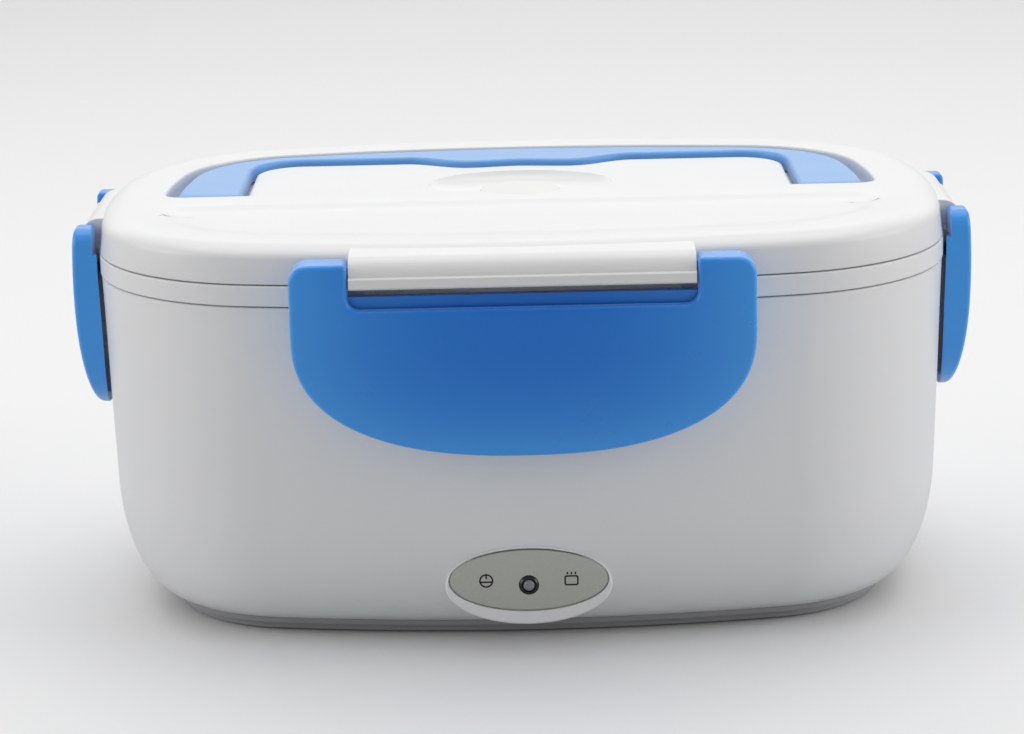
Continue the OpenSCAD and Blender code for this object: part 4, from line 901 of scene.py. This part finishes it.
def latch(side, node, body):
    """One latch: a hollow plate bent to its face, with a web, ears, a hook, ribs and two pins."""
    w, top_z, low_z = side.width, side.top, side.low
    y, z = -side.pivot_out, side.pivot_z
    front = [(i, -d) for i, d in fillet(EDGE_R, side.reach)]
    plate = facing(node, latch_outline(side), [(0, 8), *front])
    back = LATCH_WALL - side.reach
    cut(plate, facing("hollow", flap(side, LATCH_WALL, z - side.swing + 0.3, 2),
                      [(0, 9), (0, back + 0.6), (0.6, back)]))
    bend(plate, side)
    # Back of the notch: a web that runs close round the hinge bar
    web_out, web_low, web_top = side.notch_depth - side.reach, side.notch_low - 1.2, z - side.swing / 2
    web = np.array([(web_out, web_low), (-WEB_IN, web_low), (-WEB_IN, web_top), (web_out, web_top)])
    web = cut(along_x("web", web, -side.room - 1, side.room + 1),
              rod("swing", (-w, y, z), (w, y, z), side.swing, 64))
    fuse(plate, web)
    ear, edge = 0.5, 1.2
    profile = np.concatenate([[(-12, low_z - 2), (-12, top_z + 4), (ear - edge, top_z + 4)],
                              arc((ear - edge, top_z - edge), edge, 90, 0, 6),
                              [(ear, RIM_TOP - 0.2), (7, RIM_TOP - 0.2), (7, low_z - 2)]])
    keep(plate, along_x("profile", profile, -w, w))
    cut(plate, box_wall(side, LATCH_GAP, SHELL_TOP - 1, RIM_TOP + 0.2),
        box_wall(side, LATCH_GAP, low_z - 3, SHELL_TOP, SHELL_DRAFT))
    hook_low = HOOK_TOP - HOOK_H
    hook = block("hook", (-side.hook, LATCH_WALL - RIB_ROOT - side.face(hook_low), hook_low),
                 (side.hook, 12, HOOK_TOP))
    cut(hook, box_wall(side, 0.5, *CATCH_SPAN))
    # A rib on each side of the hook, and a shallower one behind the middle of the front latch
    ribs = [along_x("rib", rib_line(side, hook_low, LATCH_GAP + 0.3), -RIB_T / 2, RIB_T / 2)]
    repeat(ribs[0], 2, 1, 2 * (side.hook + 1.5), 0, blue_pp)
    if side.k == 0:
        ribs.append(along_x("rib", rib_line(side, hook_low, CATCH_OUT + 0.3), -RIB_T / 2, RIB_T / 2))
    pins = rod("pins", (-PIN_LEN / 2, y, z), (PIN_LEN / 2, y, z), HINGE_D / 2)
    repeat(pins, 2, 1, 2 * (side.room + 1 - PIN_LEN / 2), 0, blue_pp)
    gather(plate, hook, *ribs, pins)
    # Shares for the painted light that lightens the face towards its sides and bottom
    write_painted_light_shares(plate, lambda p: p.x / (w / 2), lambda p: max(low_z + FLAP_H - p.z, 0) / FLAP_H)
    turn(shift(plate, -side.half), side.k)
    return finish(plate, blue_pp, body, node)


# ------------------------ badge and lamp
# Screen-printed ink: black, thin and slightly matt
print_ink = moulded("black_ink", "#1A1B1C", "#151617", (0.45, 0.55), 0.3, 0.004)
# Sheet aluminium with a satin champagne lacquer: pale, warm grey and slightly pearly
badge_paint = metal("champagne_lacquer", "#C6C7BF", "#BBBCB3", (0.34, 0.44), 0.5, 1)


def badge():
    gap, soft, y = 0.3, 0.3, -BOSS_Y
    outline = ellipse(BADGE_W / 2 - gap, BADGE_H / 2 - gap) + [0, BADGE_Z]
    plate = facing("badge", outline, [(0, y + BADGE_T - 0.1), (0, y + soft), (soft / 3, y + soft / 3),
                                      (soft, y)])
    cut(plate, rod("hole", (0, y - 2, LAMP_Z), (0, y + 3, LAMP_Z), RING_D / 2 + PLAY, 64))
    return finish(plate, badge_paint, "base", "badge_plate")


def frame_mark(name, outer, inner):
    """Printed outline between two closed lines, its back sunk into the badge."""
    plate = facing(name, outer, [(0, 0.2 - BOSS_Y), (0, -BOSS_Y - PRINT_T)])
    return cut(plate, facing(name, inner, [(0, 0.5 - BOSS_Y), (0, -BOSS_Y - 0.5)]))


def badge_marks():
    """Two small printed marks beside the lamp: a lidded dish in a circle, and a pot."""
    x, line, z, pot_z = MARK_X, MARK_LINE, BADGE_Z, BADGE_Z - 0.3
    hole = DISH_R - line
    ring = frame_mark("badge_marks", ellipse(DISH_R, DISH_R, 48) + [-x, z],
                      ellipse(hole, hole, 48) + [-x, z])
    pot = frame_mark("pot", rounded(POT_W, POT_H, POT_R, 4) + [x, pot_z],
                     rounded(POT_W - 2 * line, POT_H - 2 * line, POT_R / 2, 4) + [x, pot_z])
    # Upright bars as centre, width, lower and upper end: the dish's plate and knob, and steam on the pot
    bars = [(-x, 3.2, -0.55, line - 0.55), (-x, line, 0.5, 1.5)]
    bars += [(x + c, line, 1.3, 1.9) for c in (-1, 0, 1)]
    solids = [block("bar", (mid - w / 2, -BOSS_Y - PRINT_T, z + z0), (mid + w / 2, 0.2 - BOSS_Y, z + z1))
              for mid, w, z0, z1 in bars]
    return finish(gather(ring, pot, *solids), print_ink, "base")


def round_loft(name, profile, steps, closed=False):
    """Solid turned about the lamp's axis, through pairs of radius and depth."""
    circle = ellipse(1, 1, steps)
    return loft(name, [at_depth(r * circle + [0, LAMP_Z], y) for r, y in profile], closed)


def lamp_parts():
    """Ring with a raised collar, and the domed lens that it holds."""
    y, lens_r, ring_r = -BOSS_Y, LAMP_D / 2, RING_D / 2
    ring = [(lens_r + PLAY, y + 4), (lens_r + PLAY, y - 0.3), (lens_r + 0.3, y - 0.55),
            (ring_r - 0.5, y - 0.55), (ring_r - 0.1, y - 0.2), (ring_r - PLAY, y + 4)]
    finish(round_loft("ring", ring, 64, closed=True), black_abs, "base", "lamp_ring")
    angles = np.radians(np.linspace(0, 82, 9))
    dome = [(lens_r * math.cos(a), y - lens_r * math.sin(a) * 0.75) for a in angles]
    finish(round_loft("lens", [(lens_r, y + 7), *dome], 48), lamp_lens, "base", "lamp")


# ------------------------ carried-over nodes
# The base cover takes the plastic darkened with painted shade
CARRIED = {"lid_inner": white_pp, "base_cover": painted_shade_pp, "seal_ring": silicone, "plate_gasket": silicone,
           "rubber_feet": foot_rubber, "base_screws": zinc_steel, "clamp_screws": zinc_steel,
           "heater_clamp": zinc_steel, "heating_plate": aluminium, "heating_element": aluminium,
           "thermal_cutout": black_nylon, "inlet_socket": black_nylon, "contact_pins": nickel,
           "inner_wires": lead_pvc}


def dress(node, material):
    """Gives a CAD node its material."""
    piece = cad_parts[node]
    piece.data.materials.clear()
    piece.data.materials.append(material)


# ------------------------ stage
def studio():
    """Pale floor that sweeps up into a backdrop; lengths in metres."""
    span, front, depth, wall, bend_r, steps = 3.0, -1.6, 1.3, 1.6, 0.7, 24
    a = np.radians(np.linspace(-90, 0, steps + 1))
    sweep = [(depth + bend_r * math.cos(t), bend_r + bend_r * math.sin(t)) for t in a]
    line = [(front, 0.0), *sweep, (depth + bend_r, wall)]
    verts = [(x, y, z) for y, z in line for x in (-span, span)]
    faces = [(2 * k, 2 * k + 1, 2 * k + 3, 2 * k + 2) for k in range(len(line) - 1)]
    mesh = bpy.data.meshes.new("sweep")
    mesh.from_pydata(verts, [], faces)
    stage = bpy.data.objects.new("sweep", mesh)
    bpy.context.scene.collection.objects.link(stage)
    mesh.shade_smooth()
    mesh.materials.append(backdrop())


def backdrop():
    """Matt paper: takes the soft shadow, and looks evenly pale to the camera."""
    material, tree = new_material("studio_paper")
    seen = add(tree, "ShaderNodeLightPath").outputs["Is Camera Ray"]
    tint = add(tree, "ShaderNodeMix", {"Factor": seen, COLOUR_A: linear("#CFD0D1"),
               COLOUR_B: linear("#EEEEEE")}, data_type="RGBA")
    surface = add(tree, "ShaderNodeBsdfPrincipled", {"Base Color": tint.outputs[MIXED], "Roughness": 0.9,
                  "Specular IOR Level": 0.2})
    add(tree, "ShaderNodeOutputMaterial", {"Surface": surface.outputs["BSDF"]})
    return material


def lamp_area(name, place, target, size, power, colour="#FFFFFF"):
    """Soft rectangular lamp that points at target, with its lengths in metres and its power in watts."""
    light = bpy.data.lights.new(name, "AREA")
    light.shape = "RECTANGLE"
    light.size, light.size_y = size
    light.energy = power
    light.color = linear(colour)[:3]
    lamp_object = bpy.data.objects.new(name, light)
    lamp_object.location = place
    lamp_object.rotation_euler = (Vector(target) - Vector(place)).to_track_quat("-Z", "Y").to_euler()
    bpy.context.scene.collection.objects.link(lamp_object)


def lights():
    world = bpy.data.worlds.new("studio")
    world.use_nodes = True
    sky = world.node_tree.nodes["Background"].inputs
    sky["Color"].default_value = linear("#EDEDEC")
    sky["Strength"].default_value = 0.47
    bpy.context.scene.world = world
    lamp_area("overhead", (0, 0.3, 1.25), (0, 0.05, 0), (1.5, 1.1), 9)
    lamp_area("back_panel", (0, 1.95, 0.75), (0, 0.2, 0.1), (3.0, 1.1), 15)
    lamp_area("left_fill", (-1.3, -0.2, 0.5), (0, 0, 0.05), (0.8, 0.8), 4.8)
    lamp_area("right_fill", (1.3, -0.2, 0.5), (0, 0, 0.05), (0.8, 0.8), 5.8)


def camera():
    """Long lens in front of the box, a little above it and slightly rolled."""
    azimuth, elevation, roll = (math.radians(a) for a in (0.145, 14.153, -1.295))
    target, distance = Vector((-3.22, MID_Y, 55.06)) * MM, 850 * MM
    back = Vector((math.sin(azimuth) * math.cos(elevation), -math.cos(azimuth) * math.cos(elevation),
                   math.sin(elevation)))
    right = Vector((math.cos(azimuth), math.sin(azimuth), 0))
    up = back.cross(right)
    across = right * math.cos(roll) + up * math.sin(roll)
    over = up * math.cos(roll) - right * math.sin(roll)
    data = bpy.data.cameras.new("camera")
    data.sensor_width, data.lens = 36, 109.86
    eye = bpy.data.objects.new("camera", data)
    turned = Matrix((across, over, back)).transposed().to_4x4()
    eye.matrix_world = Matrix.Translation(target + back * distance) @ turned
    bpy.context.scene.collection.objects.link(eye)
    bpy.context.scene.camera = eye


camera()
studio()
lights()
outer_shell()
inner_liner()
food_tray()
removable_container()
lid_shell()
vent_plug()
handle()
for latch_side, side_name in zip(SIDES, SIDE_NAMES):
    latch(latch_side, "latch_" + side_name, side_name + "_latch")
badge()
badge_marks()
lamp_parts()
for carried_node, carried_material in CARRIED.items():
    dress(carried_node, carried_material)

bpy.context.scene.view_settings.view_transform = "Standard"
